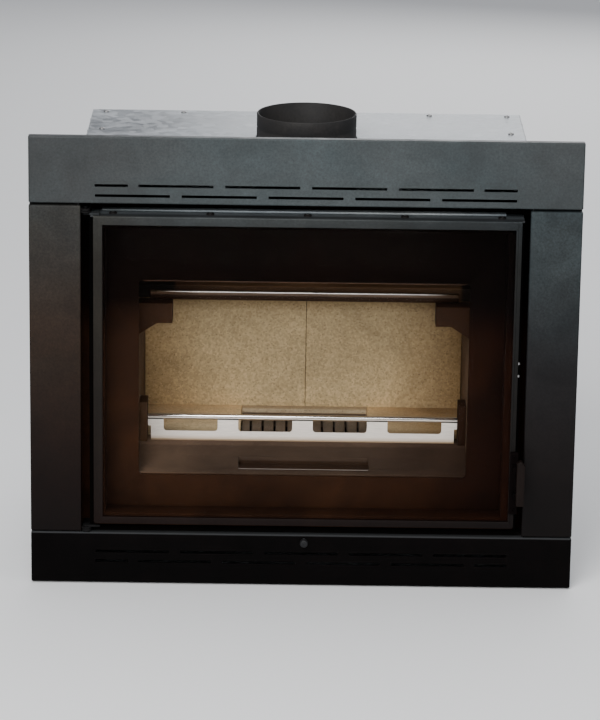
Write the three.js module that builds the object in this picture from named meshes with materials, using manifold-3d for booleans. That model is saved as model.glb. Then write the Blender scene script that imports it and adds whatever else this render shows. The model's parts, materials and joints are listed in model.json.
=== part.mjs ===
// Inset wood-burning stove with a slotted four-piece surround and a single glazed door.
// Millimetres, +Z up. X runs to the right seen from the front, Y runs into the chimney breast.
// The drawing datum is the surround's front face (y = 0); the finished group is moved along Y
// so that the origin is the centre of the bounding box's base.

import * as THREE from 'three';
import { mergeVertices } from 'three/addons/utils/BufferGeometryUtils.js';
import Module from 'manifold-3d';

const wasm = await Module();
wasm.setup();

// ---- driving dimensions ----------------------------------------------------------------------

const GAP = 0.3;                 // clearance left between touching pieces

// surround
const TRIM_W = 800;              // overall width of the surround
const TRIM_Z0 = 2;               // underside of the bottom panel
const TRIM_Z1 = 679;             // top of the top panel
const TRIM_T = 2;                // sheet thickness
const TRIM_RETURN = 10;          // depth of the folded edges behind the sheet
const SIDE_W = 75;               // width of a side panel
const BOTTOM_TOP = 80;           // top edge of the bottom panel
const SIDE_Z0 = 81.8;            // lower end of the side panels
const SIDE_Z1 = 577;             // upper end of the side panels
const TOP_BOTTOM = 580.5;        // lower edge of the top panel
const SLOT_H = 4;                // height of a convection slot
const SLOT_LONG = 108;           // length of a full slot
const SLOT_SHORT = 48;           // length of the short end slots
const SLOT_PITCH = 125;          // pitch of the full slots
const SLOT_END = 304.5;          // half length of each row of slots
const ROW_STEP = 15;             // spacing of the two rows
const TOP_ROW = 592.3;           // height of the top panel's lower row
const BOTTOM_ROW = 51;           // height of the bottom panel's upper row

// convection casing
const CASE_X = 330;              // half width
const CASE_Z0 = 14;
const CASE_Z1 = 626;
const CASE_Y0 = 2.5;
const CASE_Y1 = 430;
const CASE_T = 2;
const FOOT_X = 290;
const FOOT_Y0 = 45;
const FOOT_Y1 = 395;

// mouth plate and front shelf
const MOUTH_Y = 50;              // front face of the mouth plate
const MOUTH_T = 4;
const MOUTH_X = 243;             // half width of the mouth
const MOUTH_Z0 = 155.4;
const MOUTH_Z1 = 454;
const SHELF_LOW = 76;            // underside of the lower shelf
const MOUTH_TOP = 585.2;         // top of the mouth plate's forward flange

// firebox
const BOX_X = 273;               // half width outside
const BOX_T = 3;
const BOX_Y1 = 384;
const BOX_Z0 = 143;
const BOX_Z1 = 474;
const HEARTH_Z = 172;            // top of the hearth
const BOARD_TOP = 400;           // top of the lining boards
const LINING_X = 247;            // half width between the side boards
const BACK_Y = 354.3;            // face of the back boards
const LINING_Y1 = BOX_Y1 - BOX_T - GAP;
const FLUE_Y = 250;              // axis of the flue
const FLUE_R = 75;
const FLUE_WALL = 3;
const FLUE_TOP = 664;

// grate, ash pan, log guard, baffle
const FIRE_X = 3;                // middle of the grate and the ash pan
const GRATE_X = 96;
const GRATE_Y0 = 196;
const GRATE_Y1 = 335;
const GRATE_TOP = 166.5;         // the grate lies a little below the hearth boards
const GRATE_SLOT = 4.6;
const GRATE_PITCH = 18.35;
const GRATE_SLOTS = 10;
const PAN_X = 82;
const PAN_Y0 = 209;
const PAN_Y1 = 322;
const GUARD_Y = 170;
const GUARD_X = 230;             // half width of the guard's plate
const GUARD_EAR_X = 234.5;       // half width of the guard along its top
const GUARD_Z1 = 208.6;
const WINDOW_W = 82;
const WINDOW_PITCH = 113.1;
const KEEPER_X = 235;            // inner face of the uprights beside the guard
const BAFFLE_Y0 = 150;
const BAFFLE_T = 20;
const RAIL_R = 7;
const RAIL_X = 230;

// door
const DOOR_X0 = -313;            // edges of the door body
const DOOR_X1 = 316.5;
const DOOR_Z0 = 92;
const DOOR_Z1 = 560;
const DOOR_Y0 = 3.6;
const DOOR_Y1 = 41;
const FRAME_X0 = -306.5;         // edges of the front frame
const FRAME_X1 = 312.5;
const FRAME_Z0 = 96.7;
const FRAME_Z1 = 563;
const FRAME_Y0 = -7;
const FRAME_Y1 = -1;
const BAR_LEFT = 13;
const BAR_RIGHT = 8.3;
const BAR_TOP = 12.5;
const BAR_BOTTOM = 10.5;
const GLASS_T = 4;
const HINGE_X = -318;            // hinge axis
const HINGE_Y = 5;
const PIN_R = 4;
const CATCH_Z = 340.5;           // height of the roller catch
const ROLLER_R = 6;
const ROLLER_OFF = 9.7;
const HANDLE_Z0 = 141;
const HANDLE_Z1 = 211;
const HANDLE_Y0 = -38;           // foremost point of the appliance

// air control
const AIR_X = 4;
const AIR_Z = 72;
const AIR_SLOT_X = 46;

const SHIFT_Y = -(HANDLE_Y0 + CASE_Y1) / 2;

// ---- finishes --------------------------------------------------------------------------------

const finish = (color, roughness, metalness) =>
  new THREE.MeshStandardMaterial({ color, roughness, metalness });

const PAINT = finish(0x4a4f50, 0.55, 0.3);
const PAINT_DARK = finish(0x201d1b, 0.6, 0.25);
const DOOR_PAINT = finish(0x484644, 0.5, 0.35);
const SHELL = finish(0x2a2522, 0.7, 0.3);
const GALVANISED = finish(0x8e9193, 0.5, 0.7);
const LINING = finish(0xa58a5e, 0.95, 0.0);
const IRON = finish(0x5f584f, 0.8, 0.3);
const BRIGHT = finish(0xd8d2cc, 0.3, 0.9);
const ROPE = finish(0x3a3835, 1.0, 0.0);
const GLAZING = finish(0x1a1512, 0.05, 0.0);

// ---- solid modelling helpers -----------------------------------------------------------------

/** A closed three.js geometry as a solid for joining and cutting. */
function toSolid(geometry) {
  const bare = geometry.clone();
  bare.deleteAttribute('normal');
  bare.deleteAttribute('uv');
  const merged = mergeVertices(bare, 1e-4);
  return new wasm.Manifold(new wasm.Mesh({
    numProp: 3,
    vertProperties: new Float32Array(merged.attributes.position.array),
    triVerts: new Uint32Array(merged.index.array),
  }));
}

/** A solid back as a three.js geometry. */
function toGeometry(solid) {
  const mesh = solid.getMesh();
  const geometry = new THREE.BufferGeometry();
  geometry.setAttribute('position', new THREE.BufferAttribute(new Float32Array(mesh.vertProperties), 3));
  geometry.setIndex(new THREE.BufferAttribute(new Uint32Array(mesh.triVerts), 1));
  geometry.computeVertexNormals();
  return geometry;
}

/** All the geometries as one body. */
function join(...pieces) {
  return toGeometry(pieces.map(toSolid).reduce((whole, piece) => whole.add(piece)));
}

/** The first geometry without the others. */
function cut(body, ...tools) {
  return toGeometry(tools.map(toSolid).reduce((whole, tool) => whole.subtract(tool), toSolid(body)));
}

/** A box between two corners. */
function block(x0, x1, y0, y1, z0, z1) {
  const geometry = new THREE.BoxGeometry(x1 - x0, y1 - y0, z1 - z0);
  geometry.translate((x0 + x1) / 2, (y0 + y1) / 2, (z0 + z1) / 2);
  return geometry;
}

/** A rectangle as a shape or hole, with one radius for the two lower corners and one for the upper. */
function rectangle(x0, x1, z0, z1, low = 0, high = low, Kind = THREE.Shape) {
  const path = new Kind();
  path.moveTo(x0 + low, z0);
  path.lineTo(x1 - low, z0);
  if (low) path.absarc(x1 - low, z0 + low, low, -Math.PI / 2, 0, false);
  path.lineTo(x1, z1 - high);
  if (high) path.absarc(x1 - high, z1 - high, high, 0, Math.PI / 2, false);
  path.lineTo(x0 + high, z1);
  if (high) path.absarc(x0 + high, z1 - high, high, Math.PI / 2, Math.PI, false);
  if (low) path.lineTo(x0, z0 + low);
  if (low) path.absarc(x0 + low, z0 + low, low, Math.PI, 1.5 * Math.PI, false);
  return path;
}

/** A shape drawn in X and Z as a sheet that fills y0 to y1. */
function sheetXZ(shape, y0, y1, curveSegments = 4) {
  const geometry = new THREE.ExtrudeGeometry(shape, { depth: y1 - y0, bevelEnabled: false, curveSegments });
  geometry.rotateX(Math.PI / 2);
  geometry.translate(0, y1, 0);
  return geometry;
}

/** A shape drawn in X and Y as a sheet that fills z0 to z1. */
function sheetXY(shape, z0, z1, curveSegments = 6) {
  const geometry = new THREE.ExtrudeGeometry(shape, { depth: z1 - z0, bevelEnabled: false, curveSegments });
  geometry.translate(0, 0, z0);
  return geometry;
}

/** A section given by points [y, z], drawn out from x0 to x1. */
function barX(points, x0, x1) {
  const shape = new THREE.Shape(points.map(([y, z]) => new THREE.Vector2(y, z)));
  const geometry = new THREE.ExtrudeGeometry(shape, { depth: x1 - x0, bevelEnabled: false });
  const turn = new THREE.Matrix4().makeBasis(
    new THREE.Vector3(0, 1, 0),
    new THREE.Vector3(0, 0, 1),
    new THREE.Vector3(1, 0, 0),
  );
  geometry.applyMatrix4(turn);
  geometry.translate(x0, 0, 0);
  return geometry;
}

/** A round bar along 'x', 'y' or 'z' from one end to the other. */
function rod(axis, radius, from, to, a, b, sides = 20) {
  const geometry = new THREE.CylinderGeometry(radius, radius, to - from, sides);
  const middle = (from + to) / 2;
  if (axis === 'x') geometry.rotateZ(Math.PI / 2).translate(middle, a, b);
  if (axis === 'y') geometry.translate(a, middle, b);
  if (axis === 'z') geometry.rotateX(Math.PI / 2).translate(a, b, middle);
  return geometry;
}

function piece(name, geometry, material) {
  const mesh = new THREE.Mesh(geometry, material);
  mesh.name = name;
  return mesh;
}

// ---- surround --------------------------------------------------------------------------------

/** Cutters for one row: five full slots, or four full slots with a short one at each end. */
function slotRow(z, shortEnds) {
  const cutters = [];
  const add = (x0, x1) => cutters.push(block(x0, x1, -1, TRIM_T + 0.5, z - SLOT_H / 2, z + SLOT_H / 2));
  if (shortEnds) {
    add(-SLOT_END, -SLOT_END + SLOT_SHORT);
    add(SLOT_END - SLOT_SHORT, SLOT_END);
  }
  const count = shortEnds ? 4 : 5;
  for (let i = 0; i < count; i += 1) {
    const centre = (i - (count - 1) / 2) * SLOT_PITCH;
    add(centre - SLOT_LONG / 2, centre + SLOT_LONG / 2);
  }
  return cutters;
}

/** Full-width panel between two heights, folded back along all four edges. */
function widePanel(z0, z1, innerEdge) {
  const half = TRIM_W / 2;
  const y1 = TRIM_T + TRIM_RETURN;
  const low = innerEdge === 'low' ? 326 : half;
  const high = innerEdge === 'high' ? 326 : half;
  return join(
    block(-half, half, 0, TRIM_T, z0, z1),
    block(-low, low, 1, y1, z0, z0 + TRIM_T),
    block(-high, high, 1, y1, z1 - TRIM_T, z1),
    block(-half, -half + TRIM_T, 1, y1, z0, z1),
    block(half - TRIM_T, half, 1, y1, z0, z1),
  );
}

function trimTop() {
  return piece('trim_top', cut(
    widePanel(TOP_BOTTOM, TRIM_Z1, 'low'),
    ...slotRow(TOP_ROW, false),
    ...slotRow(TOP_ROW + ROW_STEP, true),
  ), PAINT);
}

function trimBottom() {
  return piece('trim_bottom', cut(
    widePanel(TRIM_Z0, BOTTOM_TOP, 'high'),
    ...slotRow(BOTTOM_ROW, false),
    ...slotRow(BOTTOM_ROW - ROW_STEP, true),
    sheetXZ(rectangle(-AIR_SLOT_X, AIR_SLOT_X, 66.6, 77.4, 5), -1, TRIM_T + 0.5),
  ), PAINT_DARK);
}

function trimSide(name, side) {
  const outer = side * TRIM_W / 2;
  const inner = side * (TRIM_W / 2 - SIDE_W);
  const span = (a, b) => [Math.min(a, b), Math.max(a, b)];
  const y1 = TRIM_T + TRIM_RETURN;
  return piece(name, join(
    block(...span(outer, inner), 0, TRIM_T, SIDE_Z0, SIDE_Z1),
    block(...span(outer, outer - side * TRIM_T), 1, y1, SIDE_Z0, SIDE_Z1),
    block(...span(inner, inner + side * TRIM_T), 1, y1, SIDE_Z0, SIDE_Z1),
  ), PAINT);
}

/** Angle that carries a side panel off the casing's side. */
function sideAngle(name, side) {
  const x = (v) => side * v;
  const span = (a, b) => [Math.min(x(a), x(b)), Math.max(x(a), x(b))];
  return piece(name, join(
    block(...span(CASE_X + GAP, CASE_X + 48), 2.3, 4.3, 130, 530),
    block(...span(CASE_X + GAP, CASE_X + GAP + 2), 3, 34, 130, 530),
  ), GALVANISED);
}

// ---- casing ----------------------------------------------------------------------------------

function casing() {
  const z0 = CASE_Z0 + CASE_T + GAP;
  const z1 = CASE_Z1 - CASE_T - GAP;
  const plan = rectangle(-CASE_X, CASE_X, CASE_Y0, CASE_Y1);
  const hole = new THREE.Path();
  hole.absarc(0, FLUE_Y, FLUE_R + 1.5, 0, 2 * Math.PI, false);
  plan.holes.push(hole);
  const inner = CASE_X - CASE_T - GAP;
  return [
    piece('casing_left', block(-CASE_X, -CASE_X + CASE_T, CASE_Y0, CASE_Y1, z0, z1), GALVANISED),
    piece('casing_right', block(CASE_X - CASE_T, CASE_X, CASE_Y0, CASE_Y1, z0, z1), GALVANISED),
    piece('casing_back', block(-inner, inner, CASE_Y1 - CASE_T, CASE_Y1, z0, z1), GALVANISED),
    piece('casing_bottom', block(-CASE_X, CASE_X, CASE_Y0, CASE_Y1, CASE_Z0, CASE_Z0 + CASE_T), GALVANISED),
    piece('casing_top', sheetXY(plan, CASE_Z1 - CASE_T, CASE_Z1, 16), GALVANISED),
  ];
}

/** Levelling foot: a pad on a short screw under the casing. */
function foot(name, x, y) {
  const top = CASE_Z0 - GAP;
  const profile = [[0, 0], [19, 0], [20, 1], [20, 5], [8, 7], [6, 7], [6, top], [0, top]];
  const geometry = new THREE.LatheGeometry(profile.map(([r, h]) => new THREE.Vector2(r, h)), 20);
  geometry.rotateX(Math.PI / 2);
  geometry.translate(x, y, 0);
  return piece(name, geometry, GALVANISED);
}

function feet() {
  return [
    foot('foot_front_left', -FOOT_X, FOOT_Y0),
    foot('foot_front_right', FOOT_X, FOOT_Y0),
    foot('foot_back_left', -FOOT_X, FOOT_Y1),
    foot('foot_back_right', FOOT_X, FOOT_Y1),
  ];
}

// ---- front plates ----------------------------------------------------------------------------

/** Plate around the mouth, folded forwards along its top. */
function mouthPlate() {
  const x = CASE_X - CASE_T - GAP;
  const y1 = MOUTH_Y + MOUTH_T;
  return piece('mouth_plate', cut(
    join(
      block(-x, x, MOUTH_Y, y1, SHELF_LOW + 2 + GAP, MOUTH_TOP),
      block(-x, x, 3, MOUTH_Y + 1, MOUTH_TOP - 2, MOUTH_TOP),
    ),
    sheetXZ(rectangle(-MOUTH_X, MOUTH_X, MOUTH_Z0, MOUTH_Z1, 6), MOUTH_Y - 1, y1 + 1),
    block(304.5, 319, MOUTH_Y - 1, y1 + 1, CATCH_Z - 18, CATCH_Z + 18),
  ), SHELL);
}

function lowerShelf() {
  const x = CASE_X - CASE_T - GAP;
  return piece('shelf_lower', block(-x, x, 12.6, MOUTH_Y + MOUTH_T, SHELF_LOW, SHELF_LOW + 2), SHELL);
}

/** Fixed half of a hinge: a tongue from the mouth plate with an eye for the door's pin. */
function hingePlate(name, z0, z1) {
  const plan = rectangle(-324.5, -311.5, -1.5, MOUTH_Y - GAP, 5, 0);
  const eye = new THREE.Path();
  eye.absarc(HINGE_X, HINGE_Y, PIN_R + 0.35, 0, 2 * Math.PI, false);
  plan.holes.push(eye);
  return piece(name, sheetXY(plan, z0, z1), SHELL);
}

/** Spring housing of the roller catch: two cheeks and a back behind the mouth plate. */
function catchHousing() {
  const y0 = MOUTH_Y + MOUTH_T + GAP;
  const z0 = CATCH_Z - 19;
  const z1 = CATCH_Z + 19;
  return piece('catch_housing', join(
    block(303.8, 305.8, y0, y0 + 24, z0, z1),
    block(316.8, 318.8, y0, y0 + 24, z0, z1),
    block(303.8, 318.8, y0 + 22.5, y0 + 24.5, z0, z1),
  ), GALVANISED);
}

function catchRoller(name, z) {
  return piece(name, rod('x', ROLLER_R, 306.1, 316.5, MOUTH_Y + MOUTH_T + 11, z, 16), BRIGHT);
}

// ---- firebox ---------------------------------------------------------------------------------

function fireboxShell() {
  const y0 = MOUTH_Y + MOUTH_T + GAP;
  const inner = BOX_X - BOX_T - GAP;
  const floor = rectangle(-inner, inner, y0, BOX_Y1 - BOX_T - GAP);
  floor.holes.push(rectangle(FIRE_X - 86, FIRE_X + 86, 205, 326, 0, 0, THREE.Path));
  const roof = rectangle(-BOX_X, BOX_X, y0, BOX_Y1);
  const outlet = new THREE.Path();
  outlet.absarc(0, FLUE_Y, FLUE_R - FLUE_WALL, 0, 2 * Math.PI, false);
  roof.holes.push(outlet);
  return [
    piece('firebox_left', block(-BOX_X, -BOX_X + BOX_T, y0, BOX_Y1, BOX_Z0, BOX_Z1), SHELL),
    piece('firebox_right', block(BOX_X - BOX_T, BOX_X, y0, BOX_Y1, BOX_Z0, BOX_Z1), SHELL),
    piece('firebox_back', block(-inner, inner, BOX_Y1 - BOX_T, BOX_Y1, BOX_Z0, BOX_Z1), SHELL),
    piece('firebox_floor', sheetXY(floor, BOX_Z0, BOX_Z0 + 4), SHELL),
    piece('firebox_roof', sheetXY(roof, BOX_Z1 + GAP, BOX_Z1 + GAP + 4, 16), SHELL),
  ];
}

/** Open-topped steel box under the grate, which holds the ash pan. */
function ashWell() {
  const top = BOX_Z0 - GAP;
  return piece('ash_well', cut(
    block(FIRE_X - 94, FIRE_X + 94, 199, 332, 88, top),
    block(FIRE_X - 91.5, FIRE_X + 91.5, 201.5, 329.5, 90.5, top + 5),
  ), SHELL);
}

function flueCollar() {
  const z0 = BOX_Z1 + 4 + 2 * GAP;
  const inner = FLUE_R - FLUE_WALL;
  const profile = [
    [inner, z0],
    [FLUE_R + 16, z0],
    [FLUE_R + 16, z0 + 5],
    [FLUE_R, z0 + 8],
    [FLUE_R, FLUE_TOP],
    [inner, FLUE_TOP],
    [inner, z0],
  ];
  const geometry = new THREE.LatheGeometry(profile.map(([r, h]) => new THREE.Vector2(r, h)), 48);
  geometry.rotateX(Math.PI / 2);
  geometry.translate(0, FLUE_Y, 0);
  return piece('flue_collar', geometry, SHELL);
}

function lining() {
  const z0 = BOX_Z0 + 4 + GAP;
  const outer = BOX_X - BOX_T - GAP;
  const seam = 4;
  const x = LINING_X - GAP;
  const [left, right] = [FIRE_X - GRATE_X - 2, FIRE_X + GRATE_X + 2];
  const back = BACK_Y - GAP;
  return [
    piece('side_board_left', block(-outer, -LINING_X, 58, LINING_Y1, z0, BOARD_TOP), LINING),
    piece('side_board_right', block(LINING_X, outer, 58, LINING_Y1, z0, BOARD_TOP), LINING),
    piece('back_board_left', block(-x, seam - GAP, BACK_Y, LINING_Y1, z0, BOARD_TOP), LINING),
    piece('back_board_right', block(seam + GAP, x, BACK_Y, LINING_Y1, z0, BOARD_TOP), LINING),
    piece('hearth_board_left', block(-x, left, GRATE_Y0, back, z0, HEARTH_Z), LINING),
    piece('hearth_board_right', block(right, x, GRATE_Y0, back, z0, HEARTH_Z), LINING),
    piece('hearth_board_rear', block(left + 0.5, right - 0.5, GRATE_Y1 + 1, back, z0, HEARTH_Z), LINING),
  ];
}

/** Front hearth casting: a low ledge, an air slot and a slope up to the level of the grate. */
function hearthFront() {
  const z0 = BOX_Z0 + 4 + GAP;
  const section = [[56, z0], [GRATE_Y0 - GAP, z0], [GRATE_Y0 - GAP, HEARTH_Z], [150, HEARTH_Z]];
  section.push([126, 162], [88, 156.8], [56, 156.8]);
  return piece('hearth_front', cut(
    barX(section, -LINING_X + GAP, LINING_X - GAP),
    block(-95.5, 99.5, 84, 123, 151, 190),
  ), IRON);
}

function airLip() {
  return piece('air_lip', block(-95, 99, 72, 83.6, 157.1, 159.1), BRIGHT);
}

/** Bracket under the front edge of the baffle; its foot slopes down to the side board. */
function baffleBracket(name, side) {
  const shape = new THREE.Shape();
  const wall = LINING_X - GAP;
  const corners = [[wall, 351], [219, 369], [196, 369], [196, BOARD_TOP - GAP], [wall, BOARD_TOP - GAP]];
  corners.forEach(([x, z], i) => (i ? shape.lineTo(side * x, z) : shape.moveTo(side * x, z)));
  return piece(name, sheetXZ(shape, 120, 152), SHELL);
}

/** Upright on a side board that keeps the log guard from sliding forwards. */
function guardKeeper(name, side) {
  const [a, b] = [side * (LINING_X - GAP), side * KEEPER_X];
  return piece(name, block(Math.min(a, b), Math.max(a, b), 158, 196, HEARTH_Z + GAP, 234), SHELL);
}

// ---- loose pieces in the firebox -------------------------------------------------------------

function grate() {
  const [x0, x1] = [FIRE_X - GRATE_X, FIRE_X + GRATE_X];
  const tools = [block(x0 + 9, x1 - 9, GRATE_Y0 + 9, GRATE_Y1 - 9, 140, GRATE_TOP - 11)];
  for (let i = 0; i < GRATE_SLOTS; i += 1) {
    const x = FIRE_X + (i - (GRATE_SLOTS - 1) / 2) * GRATE_PITCH;
    tools.push(block(x - GRATE_SLOT / 2, x + GRATE_SLOT / 2, GRATE_Y0 + 12, GRATE_Y1 - 12, 150, 180));
  }
  const z0 = BOX_Z0 + 4 + GAP;
  return piece('grate', cut(block(x0, x1, GRATE_Y0, GRATE_Y1, z0, GRATE_TOP), ...tools), IRON);
}

function ashPan() {
  const [x0, x1] = [FIRE_X - PAN_X, FIRE_X + PAN_X];
  return piece('ash_pan', cut(
    block(x0, x1, PAN_Y0, PAN_Y1, 90.8, 141),
    block(x0 + 1.5, x1 - 1.5, PAN_Y0 + 1.5, PAN_Y1 - 1.5, 92.3, 150),
  ), SHELL);
}

/** Folded sheet along the front of the fire bed, with four windows under its flange. */
function logGuard() {
  const z0 = HEARTH_Z + GAP;
  const windows = [-1.5, -0.5, 0.5, 1.5].map((i) => {
    const x = i * WINDOW_PITCH;
    const outline = rectangle(x - WINDOW_W / 2, x + WINDOW_W / 2, 186, GUARD_Z1 - 2, 5, 0);
    return sheetXZ(outline, GUARD_Y - 1, GUARD_Y + 3);
  });
  return piece('log_guard', cut(
    join(
      block(-GUARD_X, GUARD_X, GUARD_Y, GUARD_Y + 2, z0, GUARD_Z1 - 1),
      block(-GUARD_EAR_X, GUARD_EAR_X, GUARD_Y, GUARD_Y + 2, GUARD_Z1 - 15, GUARD_Z1 - 1),
      block(-GUARD_EAR_X, GUARD_EAR_X, GUARD_Y - 1.5, GUARD_Y + 17, GUARD_Z1 - 2, GUARD_Z1),
      block(-GUARD_EAR_X, GUARD_EAR_X, GUARD_Y + 15, GUARD_Y + 17, GUARD_Z1 - 9, GUARD_Z1 - 1),
    ),
    ...windows,
  ), BRIGHT);
}

function baffle() {
  const x = BOX_X - BOX_T - 2;
  const z = BOARD_TOP + GAP;
  return [
    piece('baffle_slab', block(-x, x, BAFFLE_Y0, LINING_Y1 - 1, z, z + BAFFLE_T), LINING),
    piece('baffle_rail', rod('x', RAIL_R, -RAIL_X, RAIL_X, BAFFLE_Y0 - RAIL_R - GAP, z + RAIL_R, 20), BRIGHT),
  ];
}

// ---- door ------------------------------------------------------------------------------------

function doorBody() {
  const ring = rectangle(DOOR_X0, DOOR_X1, DOOR_Z0, DOOR_Z1);
  ring.holes.push(rectangle(DOOR_X0 + 23, DOOR_X1 - 23, DOOR_Z0 + 18, DOOR_Z1 - 18, 4, 4, THREE.Path));
  return piece('door_body', sheetXZ(ring, DOOR_Y0, DOOR_Y1), PAINT_DARK);
}

function doorFrame() {
  const ring = rectangle(FRAME_X0, FRAME_X1, FRAME_Z0, FRAME_Z1, 4, 1.5);
  ring.holes.push(rectangle(FRAME_X0 + BAR_LEFT, FRAME_X1 - BAR_RIGHT, FRAME_Z0 + BAR_BOTTOM,
    FRAME_Z1 - BAR_TOP, 0, 0, THREE.Path));
  return piece('door_frame', sheetXZ(ring, FRAME_Y0, FRAME_Y1), DOOR_PAINT);
}

function doorGlass() {
  const y0 = FRAME_Y1 + GAP;
  return piece('door_glass', block(FRAME_X0 + 2, FRAME_X1 - 2, y0, y0 + GLASS_T, FRAME_Z0 + 2, DOOR_Z1 - 1),
    GLAZING);
}

/** Channel along the top of the door, with a raised strip at its back. */
function doorTopRail() {
  const z0 = DOOR_Z1 + GAP;
  return piece('door_top_rail', join(
    block(DOOR_X0 + 2, DOOR_X1, FRAME_Y1 + GAP, DOOR_Y1, z0, FRAME_Z1),
    block(-292, 297, 27, DOOR_Y1, z0 + 1, FRAME_Z1 + 3),
  ), DOOR_PAINT);
}

/** Rope seal let into the back of the door, pressed against the mouth plate. */
function ropeSeal() {
  const ring = rectangle(-306, 306, 97, 551, 18);
  ring.holes.push(rectangle(-296, 296, 107, 541, 8, 8, THREE.Path));
  return piece('rope_seal', sheetXZ(ring, DOOR_Y1 + GAP, MOUTH_Y - GAP), ROPE);
}

/** Moving half of a hinge: a lug on the door's top or bottom with an upright pin. */
function hingeLug(name, z0, z1, pin0, pin1) {
  return piece(name, join(
    block(HINGE_X, HINGE_X + 20, HINGE_Y - 5, HINGE_Y + 8, z0, z1),
    rod('z', PIN_R + 1.6, z0, z1, HINGE_X, HINGE_Y, 20),
    rod('z', PIN_R, pin0, pin1, HINGE_X, HINGE_Y, 20),
  ), SHELL);
}

/** Blade on the back of the door that is gripped by the two rollers. */
function catchTongue() {
  const y0 = DOOR_Y1 + GAP;
  return piece('catch_tongue', join(
    block(307, 316, y0, y0 + 3, CATCH_Z - 14, CATCH_Z + 14),
    block(307, 313, y0 + 1, 74, CATCH_Z - 2.8, CATCH_Z + 2.8),
  ), BRIGHT);
}

function handle() {
  const y0 = FRAME_Y0 - GAP;
  const bar = new THREE.Shape();
  bar.moveTo(313.6, HANDLE_Z0);
  bar.lineTo(325.6, HANDLE_Z0);
  bar.lineTo(325.6, HANDLE_Z1 - 7);
  bar.lineTo(319.6, HANDLE_Z1);
  bar.lineTo(313.6, HANDLE_Z1 - 4);
  return [
    piece('handle_bracket', join(
      block(305, 317, y0 - 3, y0, 120, 216),
      block(309, 317, -26, y0 - 1, 147, 157),
      block(309, 317, -26, y0 - 1, 188, 198),
    ), PAINT_DARK),
    piece('handle_lever', sheetXZ(bar, HANDLE_Y0, -26 - GAP), PAINT),
  ];
}

function door() {
  return [
    doorBody(),
    doorFrame(),
    doorGlass(),
    doorTopRail(),
    ropeSeal(),
    hingeLug('hinge_lug_upper', FRAME_Z1 + GAP, FRAME_Z1 + 3.3, FRAME_Z1 + 1, 576),
    hingeLug('hinge_lug_lower', DOOR_Z0 - 3.3, DOOR_Z0 - GAP, 80.6, DOOR_Z0 - 1),
    catchTongue(),
    ...handle(),
  ];
}

// ---- air control -----------------------------------------------------------------------------

function airControl() {
  const knob = [[0, -18], [4.5, -18], [6, -16.5], [6, -8], [4, -6.3], [0, -6.3]];
  const knobGeometry = new THREE.LatheGeometry(knob.map(([r, h]) => new THREE.Vector2(r, h)), 24);
  knobGeometry.translate(AIR_X, 0, AIR_Z);
  const guide = [[14, 64], [48, 64], [48, 75.7], [46, 75.7], [46, 66], [16, 66], [16, 68], [14, 68]];
  return [
    piece('air_guide', barX(guide, -100, 100), GALVANISED),
    piece('air_slide', join(
      block(AIR_X - 45, AIR_X + 45, 17, 45.5, 69.6, 74.4),
      rod('y', 3, -6, 20, AIR_X, AIR_Z, 16),
    ), GALVANISED),
    piece('air_knob', knobGeometry, DOOR_PAINT),
  ];
}

// ---- assembly --------------------------------------------------------------------------------

const insert = new THREE.Group();
insert.name = 'fireplace_insert';
insert.add(
  trimTop(),
  trimSide('trim_left', -1),
  trimSide('trim_right', 1),
  trimBottom(),
  sideAngle('trim_angle_left', -1),
  sideAngle('trim_angle_right', 1),
  ...casing(),
  ...feet(),
  mouthPlate(),
  lowerShelf(),
  hingePlate('hinge_plate_upper', 569.6, 572.6),
  hingePlate('hinge_plate_lower', 82.4, 85.4),
  catchHousing(),
  catchRoller('catch_roller_upper', CATCH_Z + ROLLER_OFF),
  catchRoller('catch_roller_lower', CATCH_Z - ROLLER_OFF),
  ...fireboxShell(),
  ashWell(),
  flueCollar(),
  ...lining(),
  hearthFront(),
  airLip(),
  baffleBracket('baffle_bracket_left', -1),
  baffleBracket('baffle_bracket_right', 1),
  guardKeeper('guard_keeper_left', -1),
  guardKeeper('guard_keeper_right', 1),
  grate(),
  ashPan(),
  logGuard(),
  ...baffle(),
  ...door(),
  ...airControl(),
);
insert.position.y = SHIFT_Y;
insert.updateMatrixWorld(true);

export default insert;
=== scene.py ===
"""Looks of an inset wood-burning stove with a slotted surround and a glazed door.

Every size in the classes is in millimetres from the drawing datum: X to the right, Y into the
chimney breast from the surround's front face, Z up from the floor. A finished piece is in metres
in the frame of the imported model, and so are the places and scales in the finishes.
"""

import sys

import json
import logging
import math
from dataclasses import dataclass, field
from enum import Enum
from itertools import product
from typing import Iterable, Optional, Sequence

import bmesh
import bpy
from mathutils import Matrix, Vector

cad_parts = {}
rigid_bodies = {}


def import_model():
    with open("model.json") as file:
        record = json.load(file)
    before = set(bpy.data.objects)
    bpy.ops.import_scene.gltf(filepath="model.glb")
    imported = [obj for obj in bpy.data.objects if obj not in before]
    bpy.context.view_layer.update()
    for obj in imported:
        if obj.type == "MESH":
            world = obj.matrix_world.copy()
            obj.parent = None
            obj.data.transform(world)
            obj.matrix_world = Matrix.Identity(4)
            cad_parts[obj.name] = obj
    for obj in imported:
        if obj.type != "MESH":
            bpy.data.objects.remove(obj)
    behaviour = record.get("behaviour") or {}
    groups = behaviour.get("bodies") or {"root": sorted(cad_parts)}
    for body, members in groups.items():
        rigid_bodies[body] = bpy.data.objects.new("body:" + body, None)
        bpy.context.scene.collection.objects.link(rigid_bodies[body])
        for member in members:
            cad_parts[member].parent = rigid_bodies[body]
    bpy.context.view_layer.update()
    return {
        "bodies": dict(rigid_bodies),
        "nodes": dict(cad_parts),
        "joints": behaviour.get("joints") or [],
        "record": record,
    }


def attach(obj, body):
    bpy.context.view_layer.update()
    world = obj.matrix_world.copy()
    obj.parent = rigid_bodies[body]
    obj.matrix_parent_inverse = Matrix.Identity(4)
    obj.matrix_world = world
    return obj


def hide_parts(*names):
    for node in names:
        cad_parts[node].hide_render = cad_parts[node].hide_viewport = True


LOG = logging.getLogger("stove")
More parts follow.
